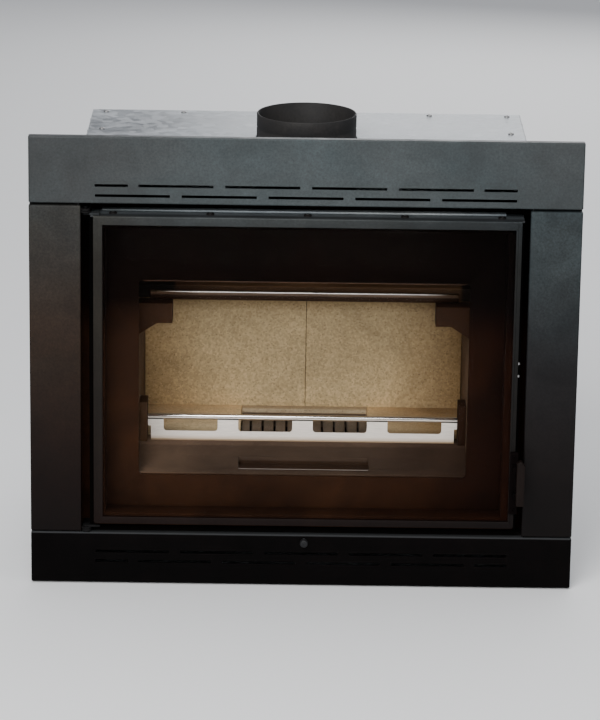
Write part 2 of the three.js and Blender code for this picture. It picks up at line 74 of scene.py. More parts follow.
DATUM_Y = 196.0
MM = 0.001
GAP = 0.3
SHARP = math.radians(30.0)
CREASE = 0.4
MERGE = 0.0001
STRAIGHT = 0.01
SIDES = ((-1, "left"), (1, "right"))

Span = tuple[float, float]
Pair = tuple[float, float]
Point = tuple[float, float, float]
Colour = tuple[float, float, float]
Grid = tuple[tuple[float, ...], tuple[float, ...]]


class Body(Enum):
    """Rigid bodies of the stove that a piece can ride on."""

    INSERT = "insert"
    DOOR = "door"
    AIR = "air_slider"
    GRATE = "grate"
    PAN = "ash_pan"
    GUARD = "log_guard"
    BAFFLE = "baffle"


class Axis(Enum):
    """Direction of a turned or drawn shape, or of painted light and shade."""

    X = "X"
    Y = "Y"
    Z = "Z"


def srgb(red: int, green: int, blue: int) -> Colour:
    """Give a linear colour from the 0 to 255 values of a paint chart.

    Args:
        red: Red value.
        green: Green value.
        blue: Blue value.

    Returns:
        The linear colour.
    """
    channels = (value / 255 for value in (red, green, blue))
    return tuple(c / 12.92 if c <= 0.04045 else ((c + 0.055) / 1.055) ** 2.4 for c in channels)


# ---- finishes --------------------------------------------------------------------------------


class Recipe:
    """Shader of one finish, built up node by node around a Principled shader."""

    def __init__(self, name: str) -> None:
        """Start a material.

        Args:
            name: The material's name.
        """
        self.material = bpy.data.materials.new(name)
        self.material.use_nodes = True
        self.tree = self.material.node_tree
        self.tree.nodes.clear()
        output = self.tree.nodes.new("ShaderNodeOutputMaterial")
        self.shader = self.tree.nodes.new("ShaderNodeBsdfPrincipled")
        self.tree.links.new(self.shader.outputs[0], output.inputs[0])
        self.place = self.tree.nodes.new("ShaderNodeTexCoord").outputs["Object"]
        self.height: Optional[bpy.types.NodeSocket] = None

    def set(self, socket: str, value: object) -> None:
        """Set a shader socket to a constant or link another socket to it."""
        self._feed(self.shader.inputs[socket], value)

    def _feed(self, target: bpy.types.NodeSocket, value: object) -> None:
        """Link or set one input.

        Args:
            target: The input.
            value: A socket to link, a colour or a number.
        """
        if isinstance(value, bpy.types.NodeSocket):
            self.tree.links.new(value, target)
        elif isinstance(value, tuple) and len(value) == 3 and target.type == "RGBA":
            target.default_value = (*value, 1.0)
        else:
            target.default_value = value

    def node(self, kind: str, inputs: dict, **settings: object) -> bpy.types.Node:
        """Add a node.

        Args:
            kind: Node type without the "ShaderNode" prefix.
            inputs: Values or sockets by input name or index.
            **settings: Properties of the node.

        Returns:
            The node.
        """
        made = self.tree.nodes.new("ShaderNode" + kind)
        for key, value in settings.items():
            setattr(made, key, value)
        for key, value in inputs.items():
            self._feed(made.inputs[key], value)
        return made

    def stretch(self, scale: Point) -> bpy.types.NodeSocket:
        """Give object coordinates scaled by a Mapping node."""
        return self.node("Mapping", {"Vector": self.place, "Scale": scale}).outputs[0]

    def noise(self, scale: float, detail: float = 3.0, rough: float = 0.55, place: object = None,
              warp: float = 0.0) -> bpy.types.NodeSocket:
        """Give a noise value between 0 and 1.

        Args:
            scale: Features per metre, roughly.
            detail: Number of finer layers.
            rough: Weight of the finer layers.
            place: Coordinates, where they aren't the plain ones.
            warp: How much the pattern is distorted.

        Returns:
            The value.
        """
        inputs = {"Vector": place or self.place, "Scale": scale, "Detail": detail, "Roughness": rough,
                  "Distortion": warp}
        return self.node("TexNoise", inputs).outputs[0]

    def cells(self, scale: float, output: str = "Distance") -> bpy.types.NodeSocket:
        """Give one output of a Voronoi texture at a scale per metre."""
        return self.node("TexVoronoi", {"Vector": self.place, "Scale": scale}).outputs[output]

    def flakes(self, scale: float) -> bpy.types.NodeSocket:
        """Give each cell of a Voronoi texture a grey of its own."""
        return self.node("RGBToBW", {0: self.cells(scale, "Color")}).outputs[0]

    def bands(self, scale: float, place: object = None) -> bpy.types.NodeSocket:
        """Give slanting bands at a scale per metre."""
        inputs = {"Vector": place or self.place, "Scale": scale}
        return self.node("TexWave", inputs, bands_direction="DIAGONAL").outputs[1]

    def ramp(self, value: object, *stops: tuple[float, float]) -> bpy.types.NodeSocket:
        """Map a value to greys.

        Args:
            value: The value.
            *stops: Stops of (position, grey).

        Returns:
            The grey.
        """
        made = self.node("ValToRGB", {0: value})
        band = made.color_ramp
        while len(band.elements) < len(stops):
            band.elements.new(1.0)
        for element, (position, grey) in zip(band.elements, stops):
            element.position = position
            element.color = (grey, grey, grey, 1.0)
        return made.outputs[0]

    def span(self, value: object, low: float, high: float, out_low: float = 0.0,
             out_high: float = 1.0) -> bpy.types.NodeSocket:
        """Map a value from one range to another, clamped.

        Args:
            value: The value.
            low: Start of its range.
            high: End of its range.
            out_low: What the start becomes.
            out_high: What the end becomes.

        Returns:
            The mapped value.
        """
        inputs = {0: value, 1: low, 2: high, 3: out_low, 4: out_high}
        return self.node("MapRange", inputs).outputs[0]

    def math(self, kind: str, first: object, second: object) -> bpy.types.NodeSocket:
        """Combine two values with a Math node."""
        return self.node("Math", {0: first, 1: second}, operation=kind).outputs[0]

    def blend(self, share: object, first: object, second: object, mode: str = "MIX") -> bpy.types.NodeSocket:
        """Blend two colours.

        Args:
            share: Share of the second one.
            first: The first colour.
            second: The second colour.
            mode: How they are blended.

        Returns:
            The blended colour.
        """
        made = self.tree.nodes.new("ShaderNodeMix")
        made.data_type = "RGBA"
        made.blend_type = mode
        for index, value in ((0, share), (6, first), (7, second)):
            self._feed(made.inputs[index], value)
        return made.outputs[2]

    def toned(self, base: object, tone: object) -> bpy.types.NodeSocket:
        """Multiply a colour by another colour or a grey."""
        return self.blend(1.0, base, tone, "MULTIPLY")

    def axis(self, axis: Axis) -> bpy.types.NodeSocket:
        """Give one object coordinate in metres."""
        return self.node("SeparateXYZ", {0: self.place}).outputs["XYZ".index(axis.value)]

    def paint(self, base: object, shades: Iterable["Shade"]) -> None:
        """Set the base colour, toned by painted light and shade across the piece.

        Args:
            base: The colour before the painted light and shade.
            shades: The painted light and shade, one change along an axis each.
        """
        # Each step multiplies in painted light or shade along one axis.
        for shade in shades:
            low, high = sorted((shade.start, shade.end))
            ends = (0.0, 1.0) if shade.end > shade.start else (1.0, 0.0)
            share = self.span(self.axis(shade.axis), low, high, *ends)
            base = self.blend(share, base, self.toned(base, shade.tone))
        self.set("Base Color", base)

    def bump(self, height: object, strength: float, distance: float) -> None:
        """Add a bump layer on top of the layers there are.

        Args:
            height: Height of the layer, 0 to 1.
            strength: How much of it shows.
            distance: Its depth in metres.
        """
        inputs = {"Height": height, "Strength": strength, "Distance": distance}
        if self.height is not None:
            inputs["Normal"] = self.height
        self.height = self.node("Bump", inputs).outputs[0]
        self.set("Normal", self.height)


@dataclass(frozen=True)
class Shade:
    """Painted light or shade along one direction, from none at its start to the full tone at its end."""

    axis: Axis
    start: float
    end: float
    tone: Colour


@dataclass(frozen=True)
class Finish:
    """A finish: its record slot, its painted light and shade, and a cached material."""

    name: str
    slot: str
    shades: tuple[Shade, ...] = field(default=(), kw_only=True)

    def mix(self, recipe: Recipe) -> None:
        """Build the finish's nodes; each kind of finish has its own."""

    def material(self) -> bpy.types.Material:
        """Give the material, made the first time it is asked for.

        Returns:
            The material.
        """
        made = bpy.data.materials.get(self.name)
        if made:
            return made
        recipe = Recipe(self.name)
        self.mix(recipe)
        return recipe.material


@dataclass(frozen=True)
class StovePaint(Finish):
    """Satin sprayed stove paint with an orange-peel skin, faint dust and an optional painted highlight band
    (rim).
    """

    colour: Colour
    tint: Colour
    gloss: float = 0.45
    shine: float = 0.5
    mottle: float = 0.16
    rim: Optional[Span] = None
    rim_highlight_colour: Colour = (0.05, 0.05, 0.05)

    def mix(self, recipe: Recipe) -> None:
        """Build the paint.

        Args:
            recipe: The shader to build in.
        """
        cloud = recipe.noise(6, 5, 0.62, warp=0.5)
        dust = recipe.noise(300, 4, 0.75)
        speck = recipe.noise(1500, 2, 0.5)
        base = recipe.blend(recipe.span(cloud, 0.36, 0.66), self.colour, self.tint)
        soft = recipe.noise(15, 4, 0.6, warp=0.6)
        base = recipe.toned(base, recipe.span(soft, 0.3, 0.7, 1.0 - self.mottle, 1.0 + self.mottle))
        fine = 1.4 * self.mottle
        base = recipe.toned(base, recipe.span(dust, 0.3, 0.7, 1.0 - fine, 1.0 + fine))
        # Painted highlight: the heights in rim take a lighter colour, standing in for a lit edge.
        if self.rim:
            base = recipe.blend(recipe.span(recipe.axis(Axis.Z), *self.rim), base, self.rim_highlight_colour)
        recipe.paint(base, self.shades)
        smear = recipe.noise(16, 5, 0.65, recipe.stretch((1.0, 1.0, 0.35)), 0.8)
        recipe.set("Roughness", recipe.span(smear, 0.3, 0.72, self.gloss - 0.07, self.gloss + 0.1))
        recipe.set("Specular IOR Level", self.shine)
        recipe.bump(recipe.noise(420, 2, 0.4), 0.06, 0.0005)
        recipe.bump(speck, 0.10, 0.0002)


@dataclass(frozen=True)
class HeatPaint(Finish):
    """Matt heat-resistant black, browned where the fire heats it."""

    cold: Colour
    burnt: Colour
    gloss: float = 0.75
    shine: float = 0.15

    def mix(self, recipe: Recipe) -> None:
        """Build the paint.

        Args:
            recipe: The shader to build in.
        """
        patch = recipe.noise(9, 5, 0.62, warp=0.9)
        fine = recipe.noise(260, 3, 0.6)
        base = recipe.blend(recipe.span(patch, 0.3, 0.7), self.cold, self.burnt)
        recipe.paint(recipe.toned(base, recipe.ramp(fine, (0.3, 0.8), (0.7, 1.2))), self.shades)
        recipe.set("Roughness", recipe.span(fine, 0.25, 0.75, self.gloss - 0.08, self.gloss + 0.12))
        recipe.set("Specular IOR Level", self.shine)
        recipe.bump(recipe.noise(900, 3, 0.6), 0.12, 0.0003)


@dataclass(frozen=True)
class ZincSheet(Finish):
    """Hot-dip zinc on sheet steel, with its spangle and handling marks."""

    bright: Colour = (0.50, 0.52, 0.54)
    dull: Colour = (0.30, 0.32, 0.34)

    def mix(self, recipe: Recipe) -> None:
        """Build the zinc.

        Args:
            recipe: The shader to build in.
        """
        spangle = recipe.flakes(75)
        stain = recipe.noise(6, 5, 0.65, warp=1.0)
        base = recipe.blend(recipe.span(spangle, 0.2, 0.8), self.dull, self.bright)
        recipe.paint(recipe.toned(base, recipe.ramp(stain, (0.3, 0.74), (0.7, 1.06))), self.shades)
        recipe.set("Metallic", 0.85)
        recipe.set("Roughness", recipe.math("ADD", recipe.span(spangle, 0.1, 0.9, 0.34, 0.52),
                                            recipe.span(stain, 0.3, 0.7, 0.0, 0.1)))
        recipe.bump(recipe.noise(60, 3, 0.5), 0.12, 0.0006)


@dataclass(frozen=True)
class Vermiculite(Finish):
    """Pressed vermiculite board: beige flakes, dark specks and pits, browned by soot."""

    pale: Colour
    deep: Colour
    soot: Colour = (0.07, 0.045, 0.025)
    soot_z: Span = (0.30, 0.44)

    def mix(self, recipe: Recipe) -> None:
        """Build the board.

        Args:
            recipe: The shader to build in.
        """
        flake = recipe.flakes(330)
        grain = recipe.noise(700, 5, 0.7)
        cloud = recipe.noise(10, 5, 0.6, warp=0.6)
        speck = recipe.ramp(recipe.cells(210), (0.0, 1.0), (0.13, 1.0), (0.19, 0.0))
        base = recipe.blend(recipe.span(flake, 0.1, 0.9), self.deep, self.pale)
        base = recipe.blend(recipe.span(grain, 0.42, 0.6), recipe.blend(0.4, base, self.deep), base)
        base = recipe.blend(speck, base, recipe.blend(0.6, base, self.soot))
        base = recipe.toned(base, recipe.ramp(cloud, (0.3, 0.8), (0.66, 1.1)))
        rise = recipe.span(recipe.axis(Axis.Z), *self.soot_z)
        patch = recipe.math("MULTIPLY", rise, recipe.span(cloud, 0.25, 0.7, 0.55, 1.0))
        recipe.paint(recipe.blend(patch, base, self.soot), self.shades)
        recipe.set("Roughness", 0.95)
        recipe.set("Specular IOR Level", 0.2)
        recipe.bump(flake, 0.25, 0.0009)
        recipe.bump(grain, 0.35, 0.0006)


@dataclass(frozen=True)
class FireIron(Finish):
    """Bare cast iron, rough from the mould and greyed by ash."""

    metal: Colour = (0.095, 0.075, 0.058)
    ash: Colour = (0.205, 0.158, 0.12)
    rust: Colour = (0.15, 0.075, 0.035)

    def mix(self, recipe: Recipe) -> None:
        """Build the iron.

        Args:
            recipe: The shader to build in.
        """
        skin = recipe.noise(420, 4, 0.65)
        dust = recipe.noise(28, 5, 0.65, warp=0.7)
        stain = recipe.noise(17, 4, 0.6, warp=1.4)
        base = recipe.blend(recipe.span(dust, 0.34, 0.66), self.metal, self.ash)
        base = recipe.blend(recipe.span(stain, 0.5, 0.75, 0.0, 0.6), base, self.rust)
        recipe.paint(recipe.toned(base, recipe.ramp(skin, (0.3, 0.75), (0.7, 1.2))), self.shades)
        recipe.set("Metallic", 0.35)
        recipe.set("Roughness", recipe.span(dust, 0.3, 0.7, 0.58, 0.85))
        recipe.bump(skin, 0.5, 0.0009)


@dataclass(frozen=True)
class BareSteel(Finish):
    """Bare steel sheet or bar with a rolled grain, a straw-coloured heat tint and an optional painted shadow
    line.
    """

    metal: Colour
    straw: Colour = (0.55, 0.43, 0.30)
    tinted: float = 0.5
    grain: Point = (3.0, 90.0, 90.0)
    rough: float = 0.3
    metallic: float = 0.9
    shine: float = 0.5
    line: Optional[Span] = None
    shadow_line_colour: Colour = (0.03, 0.022, 0.016)

    def mix(self, recipe: Recipe) -> None:
        """Build the steel.

        Args:
            recipe: The shader to build in.
        """
        rolled = recipe.noise(22, 4, 0.6, recipe.stretch(self.grain))
        heat = recipe.noise(11, 4, 0.6, warp=0.8)
        base = recipe.blend(recipe.span(heat, 0.42, 0.75, 0.0, self.tinted), self.metal, self.straw)
        base = recipe.toned(base, recipe.ramp(rolled, (0.3, 0.84), (0.7, 1.08)))
        # Painted shadow: a thin dark band between the two heights in line, standing in for the shade under a
        # flange.
        if self.line:
            height = recipe.axis(Axis.Z)
            under = recipe.span(height, self.line[1] - 0.0002, self.line[1], 1.0, 0.0)
            over = recipe.span(height, self.line[0], self.line[0] + 0.0003)
            base = recipe.blend(recipe.math("MULTIPLY", under, over), base, self.shadow_line_colour)
        recipe.paint(base, self.shades)
        recipe.set("Metallic", self.metallic)
        recipe.set("Specular IOR Level", self.shine)
        recipe.set("Roughness", recipe.span(rolled, 0.25, 0.75, self.rough - 0.07, self.rough + 0.12))
        recipe.bump(rolled, 0.08, 0.0003)


@dataclass(frozen=True)
class GlassRope(Finish):
    """Braided glass-fibre rope, grey with soot."""

    strand: Colour = (0.10, 0.095, 0.09)
    hollow: Colour = (0.018, 0.017, 0.016)

    def mix(self, recipe: Recipe) -> None:
        """Build the rope.

        Args:
            recipe: The shader to build in.
        """
        across = recipe.stretch((-1.0, 1.0, 1.0))
        weave = recipe.math("MULTIPLY", recipe.bands(150), recipe.bands(150, across))
        recipe.set("Base Color", recipe.blend(recipe.span(weave, 0.05, 0.5), self.hollow, self.strand))
        recipe.set("Roughness", 1.0)
        recipe.bump(weave, 0.8, 0.001)


@dataclass(frozen=True)
class DoorGlass(Finish):
    """Flat ceramic glass with a warm body tint and a light film of smoke."""

    tint: Colour = (0.012, 0.008, 0.006)
    veil: float = 0.04
    shine: float = 0.12

    def mix(self, recipe: Recipe) -> None:
        """Build the glass.

        Args:
            recipe: The shader to build in.
        """
        recipe.set("Base Color", self.tint)
        smoke = recipe.noise(9, 4, 0.6, warp=0.7)
        recipe.set("Roughness", recipe.span(smoke, 0.35, 0.8, 0.03, 0.09))
        recipe.set("Specular IOR Level", self.shine)
        recipe.set("Alpha", self.veil)


class Palette:
    """The stove's finishes, with the heights and places of their painted light and shade in metres."""

    # Top panel: lighter in the middle and darker towards both ends, a painted highlight across its face.
    TRIM = StovePaint(
        "satin_paint", "trim_paint", srgb(42, 51, 53), srgb(49, 55, 56), gloss=0.42, shine=0.3, mottle=0.24,
        shades=(Shade(Axis.X, -0.06, -0.34, (0.66, 0.58, 0.56)),
                Shade(Axis.X, 0.06, 0.36, (0.78, 0.72, 0.71))))
    # Side panels: painted shade, darker towards the bottom with a warm brown cast low down; the left and
    # right copies differ only in painted light and shade.
    TRIM_LEFT = StovePaint(
        "satin_paint_left", "trim_paint", srgb(38, 39, 38), srgb(43, 41, 37), shine=0.1, mottle=0.24,
        shades=(Shade(Axis.Z, 0.57, 0.06, (0.14, 0.10, 0.08)), Shade(Axis.Z, 0.56, 0.36, (1.2, 0.74, 0.52)),
                Shade(Axis.Z, 0.34, 0.14, (0.5, 0.30, 0.30))))
    TRIM_RIGHT = StovePaint(
        "satin_paint_right", "trim_paint", srgb(42, 49, 51), srgb(46, 51, 52), shine=0.1, mottle=0.24,
        shades=(Shade(Axis.Z, 0.57, 0.06, (0.14, 0.10, 0.08)), Shade(Axis.Z, 0.50, 0.34, (0.55, 0.42, 0.42)),
                Shade(Axis.Z, 0.34, 0.14, (0.70, 0.42, 0.36))))
    # Bottom panel: its near-black colour is painted shade, and the lighter band along its top edge (rim) is a
    # painted highlight.
    TRIM_LOW = StovePaint(
        "satin_paint_low", "trim_paint", srgb(3, 2, 2), srgb(5, 3, 3), gloss=0.6, shine=0.04, mottle=0.3,
        rim=(0.0776, 0.0792), rim_highlight_colour=srgb(52, 53, 54))
    # Door frame: painted shade, darker towards the bottom and the right, warmer at the top left, and a
    # painted highlight along its top edge.
    DOOR = StovePaint(
        "satin_paint_door", "trim_paint", srgb(42, 45, 46), srgb(47, 49, 48), shine=0.09, mottle=0.2,
        shades=(Shade(Axis.Z, 0.556, 0.50, (0.70, 0.63, 0.56)), Shade(Axis.Z, 0.50, 0.10, (0.38, 0.19, 0.17)),
                Shade(Axis.X, -0.18, -0.30, (0.78, 0.70, 0.62)),
                Shade(Axis.X, -0.10, 0.31, (0.50, 0.53, 0.56)),
                Shade(Axis.Z, 0.5616, 0.5624, (1.9, 1.9, 1.9))))
    # Channel over the door: a lighter copy of the door paint as painted light, with painted shade darkening
    # towards its front.
    CHANNEL = StovePaint(
        "satin_paint_channel", "trim_paint", srgb(92, 98, 102), srgb(102, 108, 110), shine=0.2,
        shades=(Shade(Axis.Y, -0.171, -0.189, (0.16, 0.15, 0.15)),))
    # Strip on the channel: a near-white copy of the paint as a painted highlight, dimmed towards both ends
    # and strongest right of the middle.
    STRIP = StovePaint(
        "satin_paint_strip", "trim_paint", srgb(132, 142, 147), srgb(144, 152, 155), gloss=0.4, shine=0.4,
        shades=(Shade(Axis.X, -0.14, -0.29, (0.30, 0.30, 0.29)), Shade(Axis.X, 0.0, 0.15, (1.35, 1.28, 1.22)),
                Shade(Axis.X, 0.19, 0.28, (0.62, 0.66, 0.70))))
    GRIP = StovePaint(
        "satin_paint_grip", "trim_paint", srgb(20, 15, 13), srgb(26, 19, 17), gloss=0.5, shine=0.05,
        mottle=0.2)
    KNOB = StovePaint(
        "satin_paint_knob", "trim_paint", srgb(24, 24, 26), srgb(30, 30, 31), gloss=0.42, shine=0.12)
    SCREW_BLACK = StovePaint(
        "screw_black", "trim_paint", srgb(14, 13, 13), srgb(22, 20, 19), gloss=0.5, shine=0.1)
    # Upper hinge lug: lighter than the other hinge parts as painted light beside the channel end, with its
    # left end painted near black as painted shade in the gap.
    LUG = StovePaint(
        "satin_paint_lug", "heat_black", srgb(40, 42, 43), srgb(46, 48, 49), gloss=0.5, shine=0.06,
        shades=(Shade(Axis.X, -0.3112, -0.3127, (0.03, 0.03, 0.03)),))

    SHELL = HeatPaint("heat_paint_shell", "heat_black", srgb(18, 16, 15), srgb(28, 22, 18), gloss=0.7)
    BROWNED = HeatPaint("heat_paint_browned", "heat_black", srgb(38, 22, 13), srgb(54, 34, 20), shine=0.08)
    # Guard keepers: darker towards the right, so the right keeper carries painted shade.
    KEEPER = HeatPaint(
        "heat_paint_keeper", "heat_black", srgb(66, 47, 32), srgb(84, 61, 42), gloss=0.8, shine=0.08,
        shades=(Shade(Axis.X, -0.1, 0.2, (0.27, 0.20, 0.18)),))
    DARK = HeatPaint("heat_paint_dark", "heat_black", srgb(5, 3, 3), srgb(9, 5, 5), gloss=0.8, shine=0.03)
    # Door ring behind the glass: painted shade, darker towards the top and the right, and near black along
    # its outer edges in the gaps beside the frame.
    RING = HeatPaint(
        "heat_paint_ring", "heat_black", srgb(26, 14, 8), srgb(45, 26, 15), gloss=0.8, shine=0.03,
        shades=(Shade(Axis.Z, 0.36, 0.425, (0.10, 0.08, 0.08)), Shade(Axis.X, 0.05, 0.28, (0.50, 0.38, 0.34)),
                Shade(Axis.X, 0.3108, 0.3128, (0.05, 0.05, 0.05)),
                Shade(Axis.X, -0.3052, -0.3068, (0.05, 0.05, 0.05))))
    # Front plate: painted shade, darker towards the top of the mouth and towards the right.
    PLATE = HeatPaint(
        "heat_paint_plate", "heat_black", srgb(27, 15, 9), srgb(52, 31, 18), shine=0.03,
        shades=(Shade(Axis.Z, 0.36, 0.425, (0.10, 0.08, 0.08)),
                Shade(Axis.X, 0.05, 0.28, (0.37, 0.28, 0.27))))
    # Mouth bead: lighter brown than the plate, a painted highlight along the mouth's top edge, with painted
    # shade darkening its ends.
    EDGE_HIGHLIGHT = HeatPaint(
        "heat_paint_edge_highlight", "heat_black", srgb(62, 45, 33), srgb(74, 54, 40), gloss=0.7, shine=0.1,
        shades=(Shade(Axis.X, -0.10, -0.20, (0.6, 0.5, 0.45)), Shade(Axis.X, 0.18, 0.23, (0.5, 0.45, 0.45))))
    HINGE = HeatPaint("heat_paint_hinge", "heat_black", srgb(7, 6, 6), srgb(10, 8, 8))
    COLLAR = HeatPaint("heat_paint_collar", "heat_black", srgb(34, 34, 35), srgb(46, 44, 42), gloss=0.55)
    # Hearth casting: painted shade in the air pocket, a painted highlight on the top flat, and lighter to the
    # left, darker to the right as painted light and shade.
    HEARTH = HeatPaint(
        "cast_iron_hearth", "fire_iron", srgb(61, 48, 38), srgb(78, 62, 50), gloss=0.8, shine=0.1,
        shades=(Shade(Axis.Z, 0.1566, 0.1552, (0.55, 0.45, 0.36)),
                Shade(Axis.Z, 0.1705, 0.1715, (1.4, 1.4, 1.4)),
                Shade(Axis.X, -0.13, -0.22, (1.75, 1.75, 1.7)),
                Shade(Axis.X, 0.08, 0.215, (0.55, 0.48, 0.45))))
    IRON = FireIron("cast_iron", "fire_iron")

    ZINC = ZincSheet("zinc_spangle", "zinc_sheet")
    # Casing side panels: the front few millimetres painted near black, a painted shade seen through the
    # surround's seams.
    ZINC_SIDE = ZincSheet(
        "zinc_spangle_side", "zinc_sheet", shades=(Shade(Axis.Y, -0.189, -0.1915, (0.01, 0.01, 0.01)),))

    # Lining boards: painted shadow under the rail and under the baffle at the top, lighter low down and
    # darker towards both sides, all painted light and shade.
    BOARD = Vermiculite(
        "vermiculite", "lining_board", (0.78, 0.60, 0.335), (0.50, 0.365, 0.195),
        shades=(Shade(Axis.Z, 0.326, 0.346, (0.55, 0.50, 0.42)),
                Shade(Axis.Z, 0.30, 0.18, (1.25, 1.25, 1.25)),
                Shade(Axis.X, -0.15, -0.25, (0.68, 0.60, 0.50)),
                Shade(Axis.X, 0.13, 0.25, (0.46, 0.38, 0.29)),
                Shade(Axis.Z, 0.372, 0.398, (0.42, 0.34, 0.26))))
    # Floor boards: lighter towards the rear and darker on the right, painted light and shade.
    BOARD_FLOOR = Vermiculite(
        "vermiculite_floor", "lining_board", (0.84, 0.68, 0.41), (0.68, 0.52, 0.30),
        shades=(Shade(Axis.Y, 0.02, 0.12, (1.35, 1.3, 1.3)), Shade(Axis.X, 0.06, 0.20, (0.46, 0.39, 0.31))))
    # Rear floor board: a darker copy of the floor board, a painted shade.
    BOARD_REAR = Vermiculite("vermiculite_rear", "lining_board", (0.62, 0.49, 0.31), (0.48, 0.36, 0.22))
    # Side boards: a much darker copy of the board, a painted shade.
    BOARD_SIDE = Vermiculite(
        "vermiculite_side", "lining_board", (0.155, 0.088, 0.046), (0.10, 0.057, 0.029), (0.03, 0.018, 0.01))
    # Baffle board: its top lighter as painted light, darker towards the left and near black at both ends as
    # painted shade.
    BAFFLE = Vermiculite(
        "vermiculite_baffle", "lining_board", (0.14, 0.07, 0.032), (0.095, 0.047, 0.021),
        (0.052, 0.027, 0.013), soot_z=(0.33, 0.405),
        shades=(Shade(Axis.Z, 0.4193, 0.4201, (3.2, 3.1, 2.9)),
                Shade(Axis.X, -0.12, -0.185, (0.40, 0.36, 0.36)),
                Shade(Axis.X, -0.190, -0.196, (0.07, 0.07, 0.07)),
                Shade(Axis.X, 0.232, 0.237, (0.07, 0.07, 0.07))))

    # Log guard: a painted shadow line under the flange (line), painted shade darker towards its foot and lip,
    # and the flange's rear darkened as painted shade.
    GUARD = BareSteel(
        "guard_steel", "bright_steel", (1.0, 0.92, 0.82), (0.98, 0.84, 0.70), tinted=0.3, rough=0.42,
        metallic=0.0, line=(0.2040, 0.2066),
        shades=(Shade(Axis.Z, 0.180, 0.1725, (0.60, 0.50, 0.39)),
                Shade(Axis.Z, 0.1741, 0.1735, (0.6, 0.54, 0.45)),
                Shade(Axis.Y, -0.0185, -0.0145, (0.42, 0.33, 0.23))))
    ROLL = BareSteel(
        "guard_roll_steel", "bright_steel", (1.0, 0.97, 0.93), (1.0, 0.94, 0.87), tinted=0.3, rough=0.17,
        metallic=1.0)
    LIP = BareSteel(
        "lip_steel", "bright_steel", (0.20, 0.17, 0.145), (0.15, 0.12, 0.095), rough=0.45, metallic=0.0,
        shine=0.15)
    ROUND = BareSteel(
        "roller_steel", "bright_steel", (0.86, 0.80, 0.72), grain=(2.0, 60.0, 60.0), rough=0.24, metallic=1.0)
    # Baffle rail: painted shade on its lower half and towards both ends.
    RAIL = BareSteel(
        "rail_steel", "bright_steel", (0.19, 0.13, 0.09), (0.15, 0.10, 0.07), grain=(2.0, 60.0, 60.0),
        rough=0.6, metallic=0.0, shine=0.05,
        shades=(Shade(Axis.Z, 0.4110, 0.4085, (0.16, 0.12, 0.10)),
                Shade(Axis.X, -0.15, -0.20, (0.45, 0.36, 0.30)),
                Shade(Axis.X, 0.18, 0.23, (0.35, 0.28, 0.22))))
    # Rail bead: a near-white metal strip along the rail's top that stands in for its highlight, with painted
    # shade dimming both ends.
    BEAD = BareSteel(
        "rail_bead_steel", "bright_steel", (1.0, 0.95, 0.88), (0.97, 0.89, 0.79), grain=(2.0, 60.0, 60.0),
        rough=0.26, metallic=1.0,
        shades=(Shade(Axis.X, -0.16, -0.215, (0.2, 0.15, 0.1)), Shade(Axis.X, 0.19, 0.215, (0.2, 0.15, 0.1))))
    SCREW = BareSteel(
        "screw_steel", "bright_steel", srgb(150, 150, 150), srgb(120, 110, 96), tinted=0.3,
        grain=(60.0, 60.0, 60.0), rough=0.34)

    ROPE = GlassRope("glass_rope", "seal_rope")
    GLASS = DoorGlass("ceramic_glass", "door_glass")


# ---- workshop --------------------------------------------------------------------------------


